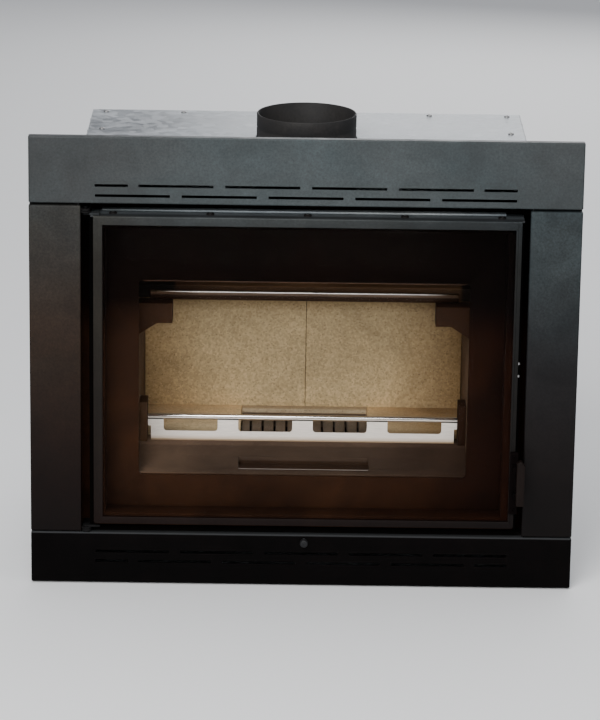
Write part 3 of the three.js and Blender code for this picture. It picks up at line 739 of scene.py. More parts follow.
class Blank:
    """A workpiece in millimetres that bmesh operators bring into shape."""

    def __init__(self) -> None:
        """Start with nothing."""
        self.bm = bmesh.new()

    def block(self, x: Span, y: Span, z: Span, edge: float = 0.0, steps: int = 2) -> "Blank":
        """Add a block between two corners with all its edges rounded.

        Args:
            x: Extent along X.
            y: Extent along Y.
            z: Extent along Z.
            edge: Radius of the edges.
            steps: Segments of each rounded edge.

        Returns:
            The workpiece.
        """
        verts = bmesh.ops.create_cube(self.bm, size=1.0)["verts"]
        spans = (x, y, z)
        bmesh.ops.scale(self.bm, vec=Vector([abs(b - a) for a, b in spans]), verts=verts)
        bmesh.ops.translate(self.bm, vec=Vector([(a + b) / 2 for a, b in spans]), verts=verts)
        if edge:
            self.round({e for v in verts for e in v.link_edges}, edge, steps)
        return self

    def round(self, edges: Iterable, radius: float, steps: int = 2) -> None:
        """Bevel edges to a radius."""
        bmesh.ops.bevel(self.bm, geom=list(edges), offset=radius, offset_type="OFFSET", segments=steps,
                        profile=0.5, affect="EDGES", clamp_overlap=True, material=-1)

    def round_sharp(self, radius: float, steps: int) -> None:
        """Bevel every sharp edge.

        Args:
            radius: Radius of the edges.
            steps: Segments of each edge.
        """
        edges = [e for e in self.bm.edges if len(e.link_faces) == 2 and e.calc_face_angle(0.0) > SHARP]
        self.round(edges, radius, steps)

    def edges_along_y(self, below: float = math.inf) -> list[bmesh.types.BMEdge]:
        """Find the edges that run along Y.

        Args:
            below: Height that they start under.

        Returns:
            The edges.
        """
        return [e for e in self.bm.edges
                if abs(e.verts[0].co.y - e.verts[1].co.y) > 1 and e.verts[0].co.z < below]

    def rod(self, start: Point, end: Point, radius: float, sides: int = 24, edge: float = 0.0,
            steps: int = 2) -> "Blank":
        """Add a round bar with rounded rims.

        Args:
            start: Centre of its first end.
            end: Centre of its other end.
            radius: Its radius.
            sides: Number of sides.
            edge: Radius of the rims.
            steps: Segments of each rim.

        Returns:
            The workpiece.
        """
        line = Vector(end) - Vector(start)
        turn = line.to_track_quat("Z", "Y").to_matrix().to_4x4()
        place = Matrix.Translation((Vector(start) + Vector(end)) / 2) @ turn
        made = bmesh.ops.create_cone(self.bm, cap_ends=True, cap_tris=False, segments=sides, radius1=radius,
                                     radius2=radius, depth=line.length, matrix=place)
        if edge:
            verts = set(made["verts"])
            caps = [f for v in verts for f in v.link_faces if len(f.verts) == sides]
            self.round({e for f in caps for e in f.edges}, edge, steps)
        return self

    def turned(self, profile: Sequence[Pair], centre: Point, axis: Axis = Axis.Z, steps: int = 40,
               closed: bool = False) -> "Blank":
        """Add a shape turned from a profile of (radius, distance along the axis).

        Args:
            profile: Points of the profile.
            centre: Where the profile's zero lies.
            axis: Axis of the turning.
            steps: Number of sides.
            closed: Whether the profile's last point joins its first.

        Returns:
            The workpiece.
        """
        verts = [self.bm.verts.new((radius, 0.0, height)) for radius, height in profile]
        pairs = list(zip(verts, verts[1:])) + ([(verts[-1], verts[0])] if closed else [])
        edges = [self.bm.edges.new(pair) for pair in pairs]
        before = set(self.bm.verts) - set(verts)
        bmesh.ops.spin(self.bm, geom=verts + edges, cent=(0, 0, 0), axis=(0, 0, 1), dvec=(0, 0, 0),
                       angle=2 * math.pi, steps=steps, use_merge=True, use_duplicate=False)
        made = [v for v in self.bm.verts if v not in before]
        bmesh.ops.remove_doubles(self.bm, verts=made, dist=MERGE)
        made = [v for v in self.bm.verts if v not in before]
        faces = list({f for v in made for f in v.link_faces})
        bmesh.ops.recalc_face_normals(self.bm, faces=faces)
        turn = {Axis.X: Matrix.Rotation(math.pi / 2, 4, "Y"), Axis.Y: Matrix.Rotation(-math.pi / 2, 4, "X"),
                Axis.Z: Matrix.Identity(4)}[axis]
        bmesh.ops.transform(self.bm, matrix=Matrix.Translation(centre) @ turn, verts=made)
        return self

    def prism(self, outline: Sequence[Pair], axis: Axis, span: Span, edge: float = 0.0,
              steps: int = 2) -> "Blank":
        """Add a straight piece of a given section.

        Args:
            outline: Section points: (y, z) for X, (x, z) for Y, (x, y) for Z.
            axis: Direction that the section is drawn along.
            span: Where it starts and ends on that axis.
            edge: Radius of its edges.
            steps: Segments of each edge.

        Returns:
            The workpiece.
        """
        place = {Axis.X: lambda a, b: (span[0], a, b), Axis.Y: lambda a, b: (a, span[0], b),
                 Axis.Z: lambda a, b: (a, b, span[0])}[axis]
        verts = [self.bm.verts.new(place(a, b)) for a, b in outline]
        face = self.bm.faces.new(verts)
        made = bmesh.ops.extrude_face_region(self.bm, geom=[face])["geom"]
        moved = [item for item in made if isinstance(item, bmesh.types.BMVert)]
        step = Vector([span[1] - span[0] if name == axis.value else 0.0 for name in "XYZ"])
        bmesh.ops.translate(self.bm, vec=step, verts=moved)
        faces = list({f for v in verts + moved for f in v.link_faces})
        bmesh.ops.recalc_face_normals(self.bm, faces=faces)
        if edge:
            self.round({e for f in faces for e in f.edges if e.calc_face_angle(0.0) > CREASE}, edge, steps)
        return self

    def add(self, other: "Blank") -> None:
        """Put another workpiece beside this one in the same piece.

        Args:
            other: The other workpiece.
        """
        mesh = bpy.data.meshes.new("part")
        other.bm.to_mesh(mesh)
        self.bm.from_mesh(mesh)
        bpy.data.meshes.remove(mesh)

    def cut(self, *tools: "Blank") -> None:
        """Cut the tools' shapes out of the workpiece."""
        self._boolean("DIFFERENCE", tools)

    def weld(self, *tools: "Blank") -> None:
        """Unite the workpiece with others into one skin."""
        self._boolean("UNION", tools)

    def _boolean(self, operation: str, tools: Iterable["Blank"]) -> None:
        """Apply a Boolean modifier for each tool in turn.

        Args:
            operation: The modifier's operation.
            tools: The other workpieces.
        """
        body = self._object(self)
        for tool in tools:
            helper = self._object(tool)
            step = body.modifiers.new("cut", "BOOLEAN")
            step.operation = operation
            step.solver = "EXACT"
            step.object = helper
            mesh = bpy.data.meshes.new_from_object(body.evaluated_get(bpy.context.evaluated_depsgraph_get()))
            body.modifiers.clear()
            old = body.data
            body.data = mesh
            bpy.data.meshes.remove(old)
            self._scrap(helper)
        self.bm.free()
        self.bm = bmesh.new()
        self.bm.from_mesh(body.data)
        self._scrap(body)

    @staticmethod
    def _object(blank: "Blank") -> bpy.types.Object:
        """Give a workpiece as an object of its own.

        Args:
            blank: The workpiece.

        Returns:
            The object.
        """
        mesh = bpy.data.meshes.new("blank")
        blank.bm.to_mesh(mesh)
        made = bpy.data.objects.new("blank", mesh)
        bpy.context.scene.collection.objects.link(made)
        return made

    @staticmethod
    def _scrap(thing: bpy.types.Object) -> None:
        """Remove a helper object and its mesh.

        Args:
            thing: The object.
        """
        mesh = thing.data
        bpy.data.objects.remove(thing)
        bpy.data.meshes.remove(mesh)

    def finish(self, name: str, finish: Finish, body: Body, replaces: Sequence[str] = (),
               smooth: float = 35) -> None:
        """Make the workpiece a finished piece of the stove.

        Args:
            name: Name of the piece.
            finish: Its finish.
            body: The body that it rides on.
            replaces: Solids of the frame that it stands for.
            smooth: Angle in degrees under which faces are shaded as one, or 0 for flat faces.
        """
        shift = Matrix.Scale(MM, 4) @ Matrix.Translation((0, -DATUM_Y, 0))
        bmesh.ops.transform(self.bm, matrix=shift, verts=self.bm.verts[:])
        mesh = bpy.data.meshes.new(name)
        self.bm.to_mesh(mesh)
        self.bm.free()
        if smooth:
            mesh.shade_smooth()
            mesh.set_sharp_from_angle(angle=math.radians(smooth))
        mesh.materials.append(finish.material())
        made = bpy.data.objects.new(name, mesh)
        bpy.context.scene.collection.objects.link(made)
        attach(made, body.value)
        if replaces:
            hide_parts(*replaces)
        LOG.info("made %s", name)


def mirrored(side: int, low: float, high: float) -> Span:
    """Give a span on one side of the middle, lowest value first."""
    return (min(side * low, side * high), max(side * low, side * high))


def dress(frame: dict, finish: Finish, *nodes: str) -> None:
    """Give solids of the frame a finish.

    Args:
        frame: What the frame's load gave.
        finish: The finish.
        *nodes: Names of the solids.
    """
    for name in nodes:
        mesh = frame["nodes"][name].data
        mesh.materials.clear()
        mesh.materials.append(finish.material())
        LOG.info("dressed %s", name)


# ---- screws ----------------------------------------------------------------------------------


@dataclass(frozen=True)
class PanHead:
    """Head of a machine screw with a socket."""

    radius: float = 4.2
    high: float = 2.2
    socket: float = 1.9
    deep: float = 1.3
    sides: int = 20

    def on(self, blank: Blank, place: Point, axis: Axis, sign: int) -> None:
        """Add a head to a workpiece.

        Args:
            blank: The workpiece.
            place: Where its seat lies.
            axis: Axis that it stands along.
            sign: Which way along the axis it faces.
        """
        r, h = self.radius, self.high
        profile = [(0.0, 0.0), (r, 0.0), (r, 0.35 * h), (0.93 * r, 0.66 * h), (0.76 * r, 0.9 * h),
                   (0.55 * r, h), (self.socket, h), (0.86 * self.socket, h - self.deep), (0.0, h - self.deep)]
        blank.turned([(a, sign * b) for a, b in profile], place, axis, self.sides)


SHEET_HEAD = PanHead()
LAP_HEAD = PanHead(3.4, 1.8, 1.5, 1.0, 16)
CHANNEL_HEAD = PanHead(6.0, 2.7, 3.0, 1.5, 36)
EDGE_HEAD = PanHead(2.3, 2.6, 1.0, 0.8, 20)
GRIP_HEAD = PanHead(3.0, 1.8, 1.3, 1.0, 24)


def screws(name: str, places: Iterable[Point], axis: Axis, sign: int, body: Body = Body.INSERT,
           finish: Finish = Palette.SCREW, head: PanHead = SHEET_HEAD) -> None:
    """Make a row of screw heads as one piece.

    Args:
        name: Name of the row.
        places: Seats of the screws.
        axis: Axis that they stand along.
        sign: Which way they face.
        body: Body that they ride on.
        finish: Their finish.
        head: Shape of each head.
    """
    blank = Blank()
    for place in places:
        head.on(blank, place, axis, sign)
    blank.finish(name, finish, body, smooth=40)


# ---- surround --------------------------------------------------------------------------------


@dataclass
class Surround:
    """Four folded panels around the door, two slotted, and near-black straps standing in for seam shade."""

    half: float = 400.0
    side: float = 75.0
    low: float = 2.0
    high: float = 679.0
    bottom_top: float = 80.0
    side_span: Span = (81.8, 577.0)
    top_low: float = 580.5
    sheet: float = 2.0
    depth: float = 12.0
    fold: float = 2.2
    inner_fold: float = 0.6
    slot_high: float = 4.0
    slot_long: float = 108.0
    slot_short: float = 48.0
    slot_pitch: float = 125.0
    slot_end: float = 304.5
    slot_count: int = 5
    row_step: float = 15.0
    rows: Span = (51.0, 592.3)
    air_half: float = 41.0
    air_z: Span = (66.6, 77.4)
    through: Span = (-2.0, 5.0)
    strap_x: Span = (327.9, 399.3)
    strap_reach: Span = (-14.0, 16.0)
    tongue_x: Span = (325.4, 331.0)
    tongue_upper: Span = (-3.0, 5.6)
    tongue_lower: Span = (-3.2, 9.0)

    def build(self) -> None:
        """Make the four panels and the straps."""
        wide = (-self.half, self.half)
        tray = self.tray(wide, (self.top_low, self.high))
        tray.cut(self.slots(self.rows[1], False), self.slots(self.rows[1] + self.row_step, True))
        tray.finish("surround_top", Palette.TRIM, Body.INSERT, ["trim_top"], 0)
        tray = self.tray(wide, (self.low, self.bottom_top))
        tray.cut(self.slots(self.rows[0], False), self.slots(self.rows[0] - self.row_step, True),
                 self.air_slot())
        tray.finish("surround_bottom", Palette.TRIM_LOW, Body.INSERT, ["trim_bottom"], 0)
        # The left and right panels take their own copies of the paint, which differ in painted light and
        # shade.
        for (side, name), paint in zip(SIDES, (Palette.TRIM_LEFT, Palette.TRIM_RIGHT)):
            tray = self.tray(mirrored(side, self.half - self.side, self.half), self.side_span)
            tray.finish("surround_" + name, paint, Body.INSERT, ["trim_" + name], 0)
            # The near-black straps and their tongues stand in for the shade inside the seams.
            self.strap(side, self.side_span[1], self.tongue_upper).finish(
                "seam_shade_strap_upper_" + name, Palette.HINGE, Body.INSERT)
            self.strap(side, self.side_span[0], self.tongue_lower).finish(
                "seam_shade_strap_lower_" + name, Palette.HINGE, Body.INSERT)

    def tray(self, x: Span, z: Span) -> Blank:
        """Fold a panel as a shallow tray that is open at the back.

        Args:
            x: Extent along X.
            z: Extent along Z.

        Returns:
            The panel.
        """
        panel = Blank().block(x, (0, self.depth + 6), z, self.fold, 4)
        panel.cut(Blank().block((x[0] - 1, x[1] + 1), (self.depth, self.depth + 9), (z[0] - 1, z[1] + 1)))
        inner = (x[0] + self.sheet, x[1] - self.sheet)
        panel.cut(Blank().block(inner, (self.sheet, self.depth + 9), (z[0] + self.sheet, z[1] - self.sheet),
                                self.inner_fold))
        return panel

    def slots(self, z: float, short_ends: bool) -> Blank:
        """Give the cutters of one row of slots.

        Args:
            z: Height of the row.
            short_ends: Whether the row ends in short slots.

        Returns:
            The cutters.
        """
        cutters = Blank()
        high = (z - self.slot_high / 2, z + self.slot_high / 2)
        if short_ends:
            for side, _ in SIDES:
                cutters.block(mirrored(side, self.slot_end - self.slot_short, self.slot_end), self.through,
                              high)
        count = self.slot_count - 1 if short_ends else self.slot_count
        for index in range(count):
            centre = (index - (count - 1) / 2) * self.slot_pitch
            cutters.block((centre - self.slot_long / 2, centre + self.slot_long / 2), self.through, high)
        return cutters

    def air_slot(self) -> Blank:
        """Give the cutter of the round-ended slot for the air control.

        Returns:
            The cutter.
        """
        cutter = Blank().block((-self.air_half, self.air_half), self.through, self.air_z)
        middle, radius = sum(self.air_z) / 2, (self.air_z[1] - self.air_z[0]) / 2
        for side, _ in SIDES:
            x = side * self.air_half
            cutter.rod((x, self.through[0], middle), (x, self.through[1], middle), radius, 20)
        return cutter

    def strap(self, side: int, seam: float, tongue: Span) -> Blank:
        """Make a near-black strap behind a seam, with a tongue that closes the seam's inner end, as painted
        shade in the seam.

        Args:
            side: Which side, -1 for the left.
            seam: Height of the side panel's end at the seam.
            tongue: Where the tongue starts and ends from there.

        Returns:
            The strap.
        """
        y = (self.depth + 0.2, self.depth + 1.7)
        high = (seam + self.strap_reach[0], seam + self.strap_reach[1])
        strap = Blank().block(mirrored(side, *self.strap_x), y, high, 0.4)
        strap.weld(Blank().block(mirrored(side, *self.tongue_x), y, (seam + tongue[0], seam + tongue[1])))
        return strap


# ---- casing ----------------------------------------------------------------------------------


@dataclass
class Casing:
    """Galvanised convection casing behind the surround, with its levelling feet."""

    half: float = 330.0
    y: Span = (2.5, 430.0)
    z: Span = (14.0, 626.0)
    sheet: float = 2.0
    edge: float = 0.5
    rear_gap: float = 0.02
    rib_half: float = 7.0
    rib_proud: float = 2.2
    rib_root: float = 1.4
    side_ribs: tuple[float, ...] = (130.0, 245.0, 360.0, 475.0)
    side_rib_y: Span = (70.0, 372.0)
    rear_ribs: tuple[float, ...] = (-200.0, -67.0, 67.0, 200.0)
    rear_rib_z: Span = (90.0, 545.0)
    screw_y: tuple[float, ...] = (60.0, 140.0, 220.0, 300.0, 380.0)
    low_screw_z: float = 30.0
    side_uprights: Grid = ((16.0, 418.0), (85.0, 190.0, 300.0, 415.0, 530.0))
    rear_rows: Grid = ((-280.0, -133.0, 0.0, 133.0, 280.0), (32.0, 590.0))
    rear_uprights: Grid = ((-316.0, 316.0), (110.0, 220.0, 330.0, 440.0, 540.0))
    lid_sides: Grid = ((-310.0, 310.0), (40.0, 160.0, 290.0, 412.0))
    lid_rear: Grid = ((-190.0, -70.0, 70.0, 190.0), (412.0,))
    lap: float = 14.0
    lap_thick: float = 1.2
    flue: Span = (0.0, 250.0)
    flue_hole: float = 76.5
    foot_x: float = 290.0
    foot_y: Span = (45.0, 395.0)
    pad: tuple[Pair, ...] = ((0, 0), (18.5, 0), (20, 1.2), (20, 3.4), (18, 5.0), (9, 6.4), (7.5, 7.4),
                             (0, 7.4))
    stem: Span = (7.5, 13.7)
    thread: tuple[float, float, int] = (5.2, 6.0, 6)
    nut: tuple[float, float, float] = (10.4, 8.6, 13.0)
    angle_x: tuple[float, float, float] = (330.3, 332.3, 378.0)
    angle_y: tuple[float, float, float] = (2.3, 4.3, 34.0)
    angle_z: Span = (130.0, 530.0)
    angle_screw: Pair = (332.4, 18.0)
    angle_screw_z: tuple[float, ...] = (160.0, 260.0, 400.0, 500.0)

    def build(self) -> None:
        """Make the panels, their screws, the angles and the feet."""
        self.sides()
        self.rear()
        self.lid()
        Blank().block((-self.half, self.half), self.y, (self.z[0], self.z[0] + self.sheet), self.edge).finish(
            "bottom_panel", Palette.ZINC, Body.INSERT, ["casing_bottom"])
        for side, across in SIDES:
            for depth, along in zip(self.foot_y, ("front", "back")):
                self.foot(side * self.foot_x, depth, f"foot_{along}_{across}")
            self.angle(side, across)

    def inner_high(self) -> Span:
        """Give the height between the bottom and the top panel."""
        return (self.z[0] + self.sheet + GAP, self.z[1] - self.sheet - GAP)

    def rib(self, x: Span, y: Span, z: Span) -> Blank:
        """Give a long pressed rib with rounded ends, half sunk in its sheet."""
        return Blank().block(x, y, z, self.rib_proud * 0.95, 4)

    def sides(self) -> None:
        """Make the two side panels with pressed ribs."""
        for side, name in SIDES:
            face = side * self.half
            panel = Blank().block(mirrored(side, self.half - self.sheet, self.half), self.y,
                                  self.inner_high(), self.edge)
            for z in self.side_ribs:
                proud = mirrored(side, self.half - self.rib_root, self.half + self.rib_proud)
                panel.weld(self.rib(proud, self.side_rib_y, (z - self.rib_half, z + self.rib_half)))
            # Palette.ZINC_SIDE paints the front edge near black as shade in the surround's seams.
            panel.finish("side_panel_" + name, Palette.ZINC_SIDE, Body.INSERT, ["casing_" + name])
            low_row = product((face,), self.screw_y, (self.low_screw_z,))
            uprights = product((face,), *self.side_uprights)
            screws("side_screws_" + name, (*low_row, *uprights), Axis.X, side)

    def rear(self) -> None:
        """Make the rear panel with its pressed ribs."""
        wide = self.half - self.sheet - self.rear_gap
        face = self.y[1]
        panel = Blank().block((-wide, wide), (face - self.sheet, face), self.inner_high(), self.edge)
        for x in self.rear_ribs:
            proud = (face - self.rib_root, face + self.rib_proud)
            panel.weld(self.rib((x - self.rib_half, x + self.rib_half), proud, self.rear_rib_z))
        panel.finish("rear_panel", Palette.ZINC, Body.INSERT, ["casing_back"])
        places = (*product(*self.rear_rows), *product(*self.rear_uprights))
        screws("rear_screws", [(x, face, z) for x, z in places], Axis.Y, 1)

    def lid(self) -> None:
        """Make the top panel with its turned-down edges and the hole for the flue collar."""
        face = self.z[1]
        panel = Blank().block((-self.half, self.half), self.y, (face - self.sheet, face), self.edge)
        panel.cut(Blank().rod((*self.flue, face - 9), (*self.flue, face + 9), self.flue_hole, 64))
        panel.finish("top_panel", Palette.ZINC, Body.INSERT, ["casing_top"])
        for side, name in SIDES:
            Blank().block(mirrored(side, self.half + 0.1, self.half + self.lap_thick),
                          (self.y[0] + 10, self.y[1]), (face - self.lap, face), 0.5).finish(
                "top_lap_" + name, Palette.ZINC, Body.INSERT)
            row = product((side * (self.half + self.lap_thick),), self.screw_y, (face - self.lap / 2,))
            screws("lap_screws_" + name, row, Axis.X, side, head=LAP_HEAD)
        places = (*product(*self.lid_sides), *product(*self.lid_rear))
        screws("top_screws", [(x, y, face) for x, y in places], Axis.Z, 1)

    def foot(self, x: float, y: float, name: str) -> None:
        """Make a levelling foot: a pad, a threaded stem and a nut.

        Args:
            x: Its place along X.
            y: Its place along Y.
            name: Name of the solid that it stands for.
        """
        foot = Blank().turned(self.pad, (x, y, 0), Axis.Z, 40)
        root, crest, turns = self.thread
        thread = [(0.0, self.stem[0])]
        for turn in range(turns):
            thread += [(root, self.stem[0] + turn), (crest, self.stem[0] + turn + 0.5)]
        foot.turned(thread + [(root, self.stem[1]), (0.0, self.stem[1])], (x, y, 0), Axis.Z, 24)
        foot.finish("levelling_" + name, Palette.ZINC, Body.INSERT, [name])
        radius, low, high = self.nut
        Blank().rod((x, y, low), (x, y, high), radius, 6, 0.5).finish(
            name + "_nut", Palette.SCREW, Body.INSERT, smooth=20)

    def angle(self, side: int, name: str) -> None:
        """Make the angle that carries a side panel, with its screws.

        Args:
            side: Which side, -1 for the left.
            name: The side's name.
        """
        (x0, x1, x2), (y0, y1, y2) = self.angle_x, self.angle_y
        section = [(x0, y2), (x0, y0), (x2, y0), (x2, y1), (x1, y1), (x1, y2)]
        points = [(side * x, y) for x, y in (section if side < 0 else section[::-1])]
        Blank().prism(points, Axis.Z, self.angle_z, 0.7).finish(
            "angle_" + name, Palette.ZINC, Body.INSERT, ["trim_angle_" + name])
        x, y = self.angle_screw
        screws("angle_screws_" + name, [(side * x, y, z) for z in self.angle_screw_z], Axis.X, side)


# ---- front plate -----------------------------------------------------------------------------


@dataclass
class FrontPlate:
    """Plate around the mouth of the firebox, its shelf and the roller catch."""

    half: float = 327.7
    y: Span = (50.0, 54.0)
    z: Span = (78.3, 585.2)
    lip_y: float = 3.0
    lip_thick: float = 2.0
    mouth_half: float = 243.0
    mouth_z: Span = (155.4, 454.0)
    through: Span = (40.0, 60.0)
    corner: float = 6.0
    rim: float = 0.9
    bead: tuple[float, float, float] = (236.0, 50.9, 0.9)
    bead_drop: float = 0.6
    shelf_y: Span = (12.6, 54.0)
    shelf_z: Span = (76.0, 78.0)
    catch_hole_x: Span = (304.5, 319.0)
    catch_hole_z: Span = (322.5, 358.5)
    cheek_x: Span = (303.8, 318.8)
    cheek_y: Span = (54.3, 78.8)
    cheek_z: Span = (321.5, 359.5)
    cheek_inner_x: Span = (305.8, 316.8)
    cheek_inner_y: Span = (40.0, 78.3)
    roller_y: float = 65.0
    roller_z: Span = (330.8, 350.2)
    roller: tuple[Pair, ...] = ((2.2, 306.1), (5.6, 306.1), (6, 306.5), (6, 310.4), (5.7, 310.8),
                                (5.7, 311.8), (6, 312.2), (6, 316.1), (5.6, 316.5), (2.2, 316.5))
    pin_x: Span = (302.8, 319.6)
    pin_radius: float = 2.1

    def build(self) -> None:
        """Make the plate, the shelf and the catch."""
        wide = (-self.half, self.half)
        plate = Blank().block(wide, self.y, self.z, 0.6)
        plate.weld(Blank().block(wide, (self.lip_y, self.y[0] + 1),
                                 (self.z[1] - self.lip_thick, self.z[1]), 0.4))
        hole = Blank().block((-self.mouth_half, self.mouth_half), self.through, self.mouth_z)
        hole.round(hole.edges_along_y(), self.corner, 6)
        plate.cut(hole, Blank().block(self.catch_hole_x, self.through, self.catch_hole_z))
        self.soften_mouth(plate)
        plate.finish("front_plate", Palette.PLATE, Body.INSERT, ["mouth_plate"])
        # The mouth bead is a light brown rod along the mouth's top edge that stands in for its highlight.
        end, depth, radius = self.bead
        height = self.mouth_z[1] - self.bead_drop
        Blank().rod((-end, depth, height), (end, depth, height), radius, 16, 0.3).finish(
            "mouth_highlight_bead", Palette.EDGE_HIGHLIGHT, Body.INSERT, smooth=50)
        Blank().block(wide, self.shelf_y, self.shelf_z, 0.6).finish(
            "front_shelf", Palette.SHELL, Body.INSERT, ["shelf_lower"])
        self.catch()

    def soften_mouth(self, plate: Blank) -> None:
        """Round the mouth's front and rear rims.

        Args:
            plate: The plate.
        """
        wide, low, high = self.mouth_half + 0.1, self.mouth_z[0] - 0.1, self.mouth_z[1] + 0.1
        rims = []
        for edge in plate.bm.edges:
            a, b = (v.co for v in edge.verts)
            level = abs(a.y - b.y) < STRAIGHT and min(abs(a.y - y) for y in self.y) < STRAIGHT
            inside = all(abs(p.x) <= wide and low <= p.z <= high for p in (a, b))
            if level and inside:
                rims.append(edge)
        plate.round(rims, self.rim, 3)

    def catch(self) -> None:
        """Make the catch's cheeks and its two rollers on their pins."""
        low, high = self.cheek_z
        housing = Blank().block(self.cheek_x, self.cheek_y, self.cheek_z, 0.5)
        housing.cut(Blank().block(self.cheek_inner_x, self.cheek_inner_y, (low - 1, high + 1)))
        housing.finish("catch_cheeks", Palette.ZINC, Body.INSERT, ["catch_housing"])
        for name, z in zip(("upper", "lower"), reversed(self.roller_z)):
            Blank().turned(self.roller, (0, self.roller_y, z), Axis.X, 32, closed=True).finish(
                "roller_" + name, Palette.ROUND, Body.INSERT, ["catch_roller_" + name])
            Blank().rod((self.pin_x[0], self.roller_y, z), (self.pin_x[1], self.roller_y, z), self.pin_radius,
                        20, 0.4).finish("roller_pin_" + name, Palette.SCREW, Body.INSERT)


# ---- firebox ---------------------------------------------------------------------------------


@dataclass
class Firebox:
    """Lining boards, hearth, brackets and keepers of the firebox, and the flue collar."""

    half: float = 246.7
    board_edge: float = 1.3
    board_z: Span = (147.3, 400.0)
    side_x: Span = (247.0, 269.7)
    side_y: Span = (58.0, 380.7)
    back_y: Span = (354.3, 380.7)
    back_seam: Span = (3.7, 4.3)
    floor_z: Span = (147.3, 172.0)
    floor_back: float = 354.0
    floor_front: float = 196.0
    floor_hole: Span = (-95.0, 101.0)
    rear_x: Span = (-94.5, 100.5)
    rear_front: float = 336.0
    hearth_section: tuple[Pair, ...] = ((56, 147.3), (195.7, 147.3), (195.7, 172), (150, 172), (126, 162),
                                        (88, 156.8), (56, 156.8))
    pocket: tuple[Span, Span, Span] = ((-95.5, 99.5), (84, 123), (151, 190))
    lip: tuple[Span, Span, Span] = ((-95.0, 99.0), (72.4, 83.6), (157.1, 159.1))
    lip_bead: tuple[float, float, float] = (72.7, 158.5, 0.7)
    bracket_outline: tuple[Pair, ...] = ((246.7, 399.7), (246.7, 351), (219, 369), (196, 369), (196, 399.7))
    bracket_y: Span = (120.0, 152.0)
    keeper_x: Span = (235.0, 246.7)
    keeper_y: Span = (158.0, 196.0)
    keeper_z: Span = (172.3, 234.0)
    collar_centre: Point = (0, 250, 0)
    collar_profile: tuple[Pair, ...] = (
        (72, 478.6), (91, 478.6), (91, 482.6), (90, 483.6), (77, 483.6), (75.6, 484.2), (75, 485.5),
        (75, 640), (74.4, 641), (74.4, 643.5), (75, 644.5), (75, 662.6), (74.3, 663.7), (73.5, 664),
        (72.7, 663.7), (72, 662.6))

    def build(self) -> None:
        """Make the boards, the hearth, the brackets, the keepers and the collar."""
        # Side boards take a darker copy of the board as painted shade.
        for side, name in SIDES:
            self.board("board_" + name, "side_board_" + name, mirrored(side, *self.side_x), self.side_y,
                       self.board_z, Palette.BOARD_SIDE)
        for name, x in (("left", (-self.half, self.back_seam[0])), ("right", (self.back_seam[1], self.half))):
            self.board("board_back_" + name, "back_board_" + name, x, self.back_y, self.board_z)
        # The rear floor board takes a darker copy of the board as painted shade.
        for name, x, front, finish in (
                ("left", (-self.half, self.floor_hole[0]), self.floor_front, Palette.BOARD_FLOOR),
                ("right", (self.floor_hole[1], self.half), self.floor_front, Palette.BOARD_FLOOR),
                ("rear", self.rear_x, self.rear_front, Palette.BOARD_REAR)):
            self.board("board_floor_" + name, "hearth_board_" + name, x, (front, self.floor_back),
                       self.floor_z, finish)
        self.hearth()
        for side, name in SIDES:
            self.bracket(side, name)
            Blank().block(mirrored(side, *self.keeper_x), self.keeper_y, self.keeper_z, 0.8).finish(
                "keeper_" + name, Palette.KEEPER, Body.INSERT, ["guard_keeper_" + name])
        Blank().turned(self.collar_profile, self.collar_centre, Axis.Z, 96, closed=True).finish(
            "outlet_collar", Palette.COLLAR, Body.INSERT, ["flue_collar"])

    def board(self, name: str, node: str, x: Span, y: Span, z: Span, finish: Finish = Palette.BOARD) -> None:
        """Make one lining board with slightly worn edges.

        Args:
            name: Name of the board.
            node: The solid that it stands for.
            x: Extent along X.
            y: Extent along Y.
            z: Extent along Z.
            finish: Its finish.
        """
        Blank().block(x, y, z, self.board_edge, 3).finish(name, finish, Body.INSERT, [node], 40)

    def hearth(self) -> None:
        """Make the front hearth casting with its air pocket, and the lip over the pocket."""
        hearth = Blank().prism(self.hearth_section, Axis.X, (-self.half, self.half), 1.6, 3)
        hearth.cut(Blank().block(*self.pocket))
        hearth.finish("hearth_casting", Palette.HEARTH, Body.INSERT, ["hearth_front"], 25)
        Blank().block(*self.lip, 0.4).finish("hearth_lip", Palette.BROWNED, Body.INSERT, ["air_lip"])
        y, z, radius = self.lip_bead
        left, right = self.lip[0]
        Blank().rod((left, y, z), (right, y, z), radius, 12, 0.2).finish(
            "hearth_lip_bead", Palette.LIP, Body.INSERT, smooth=50)

    def bracket(self, side: int, name: str) -> None:
        """Make a bracket for the baffle, whose foot slopes down to the side board.

        Args:
            side: Which side, -1 for the left.
            name: The side's name.
        """
        points = [(side * x, z) for x, z in self.bracket_outline]
        Blank().prism(points, Axis.Y, self.bracket_y, 1.2, 3).finish(
            "bracket_" + name, Palette.BROWNED, Body.INSERT, ["baffle_bracket_" + name], 30)


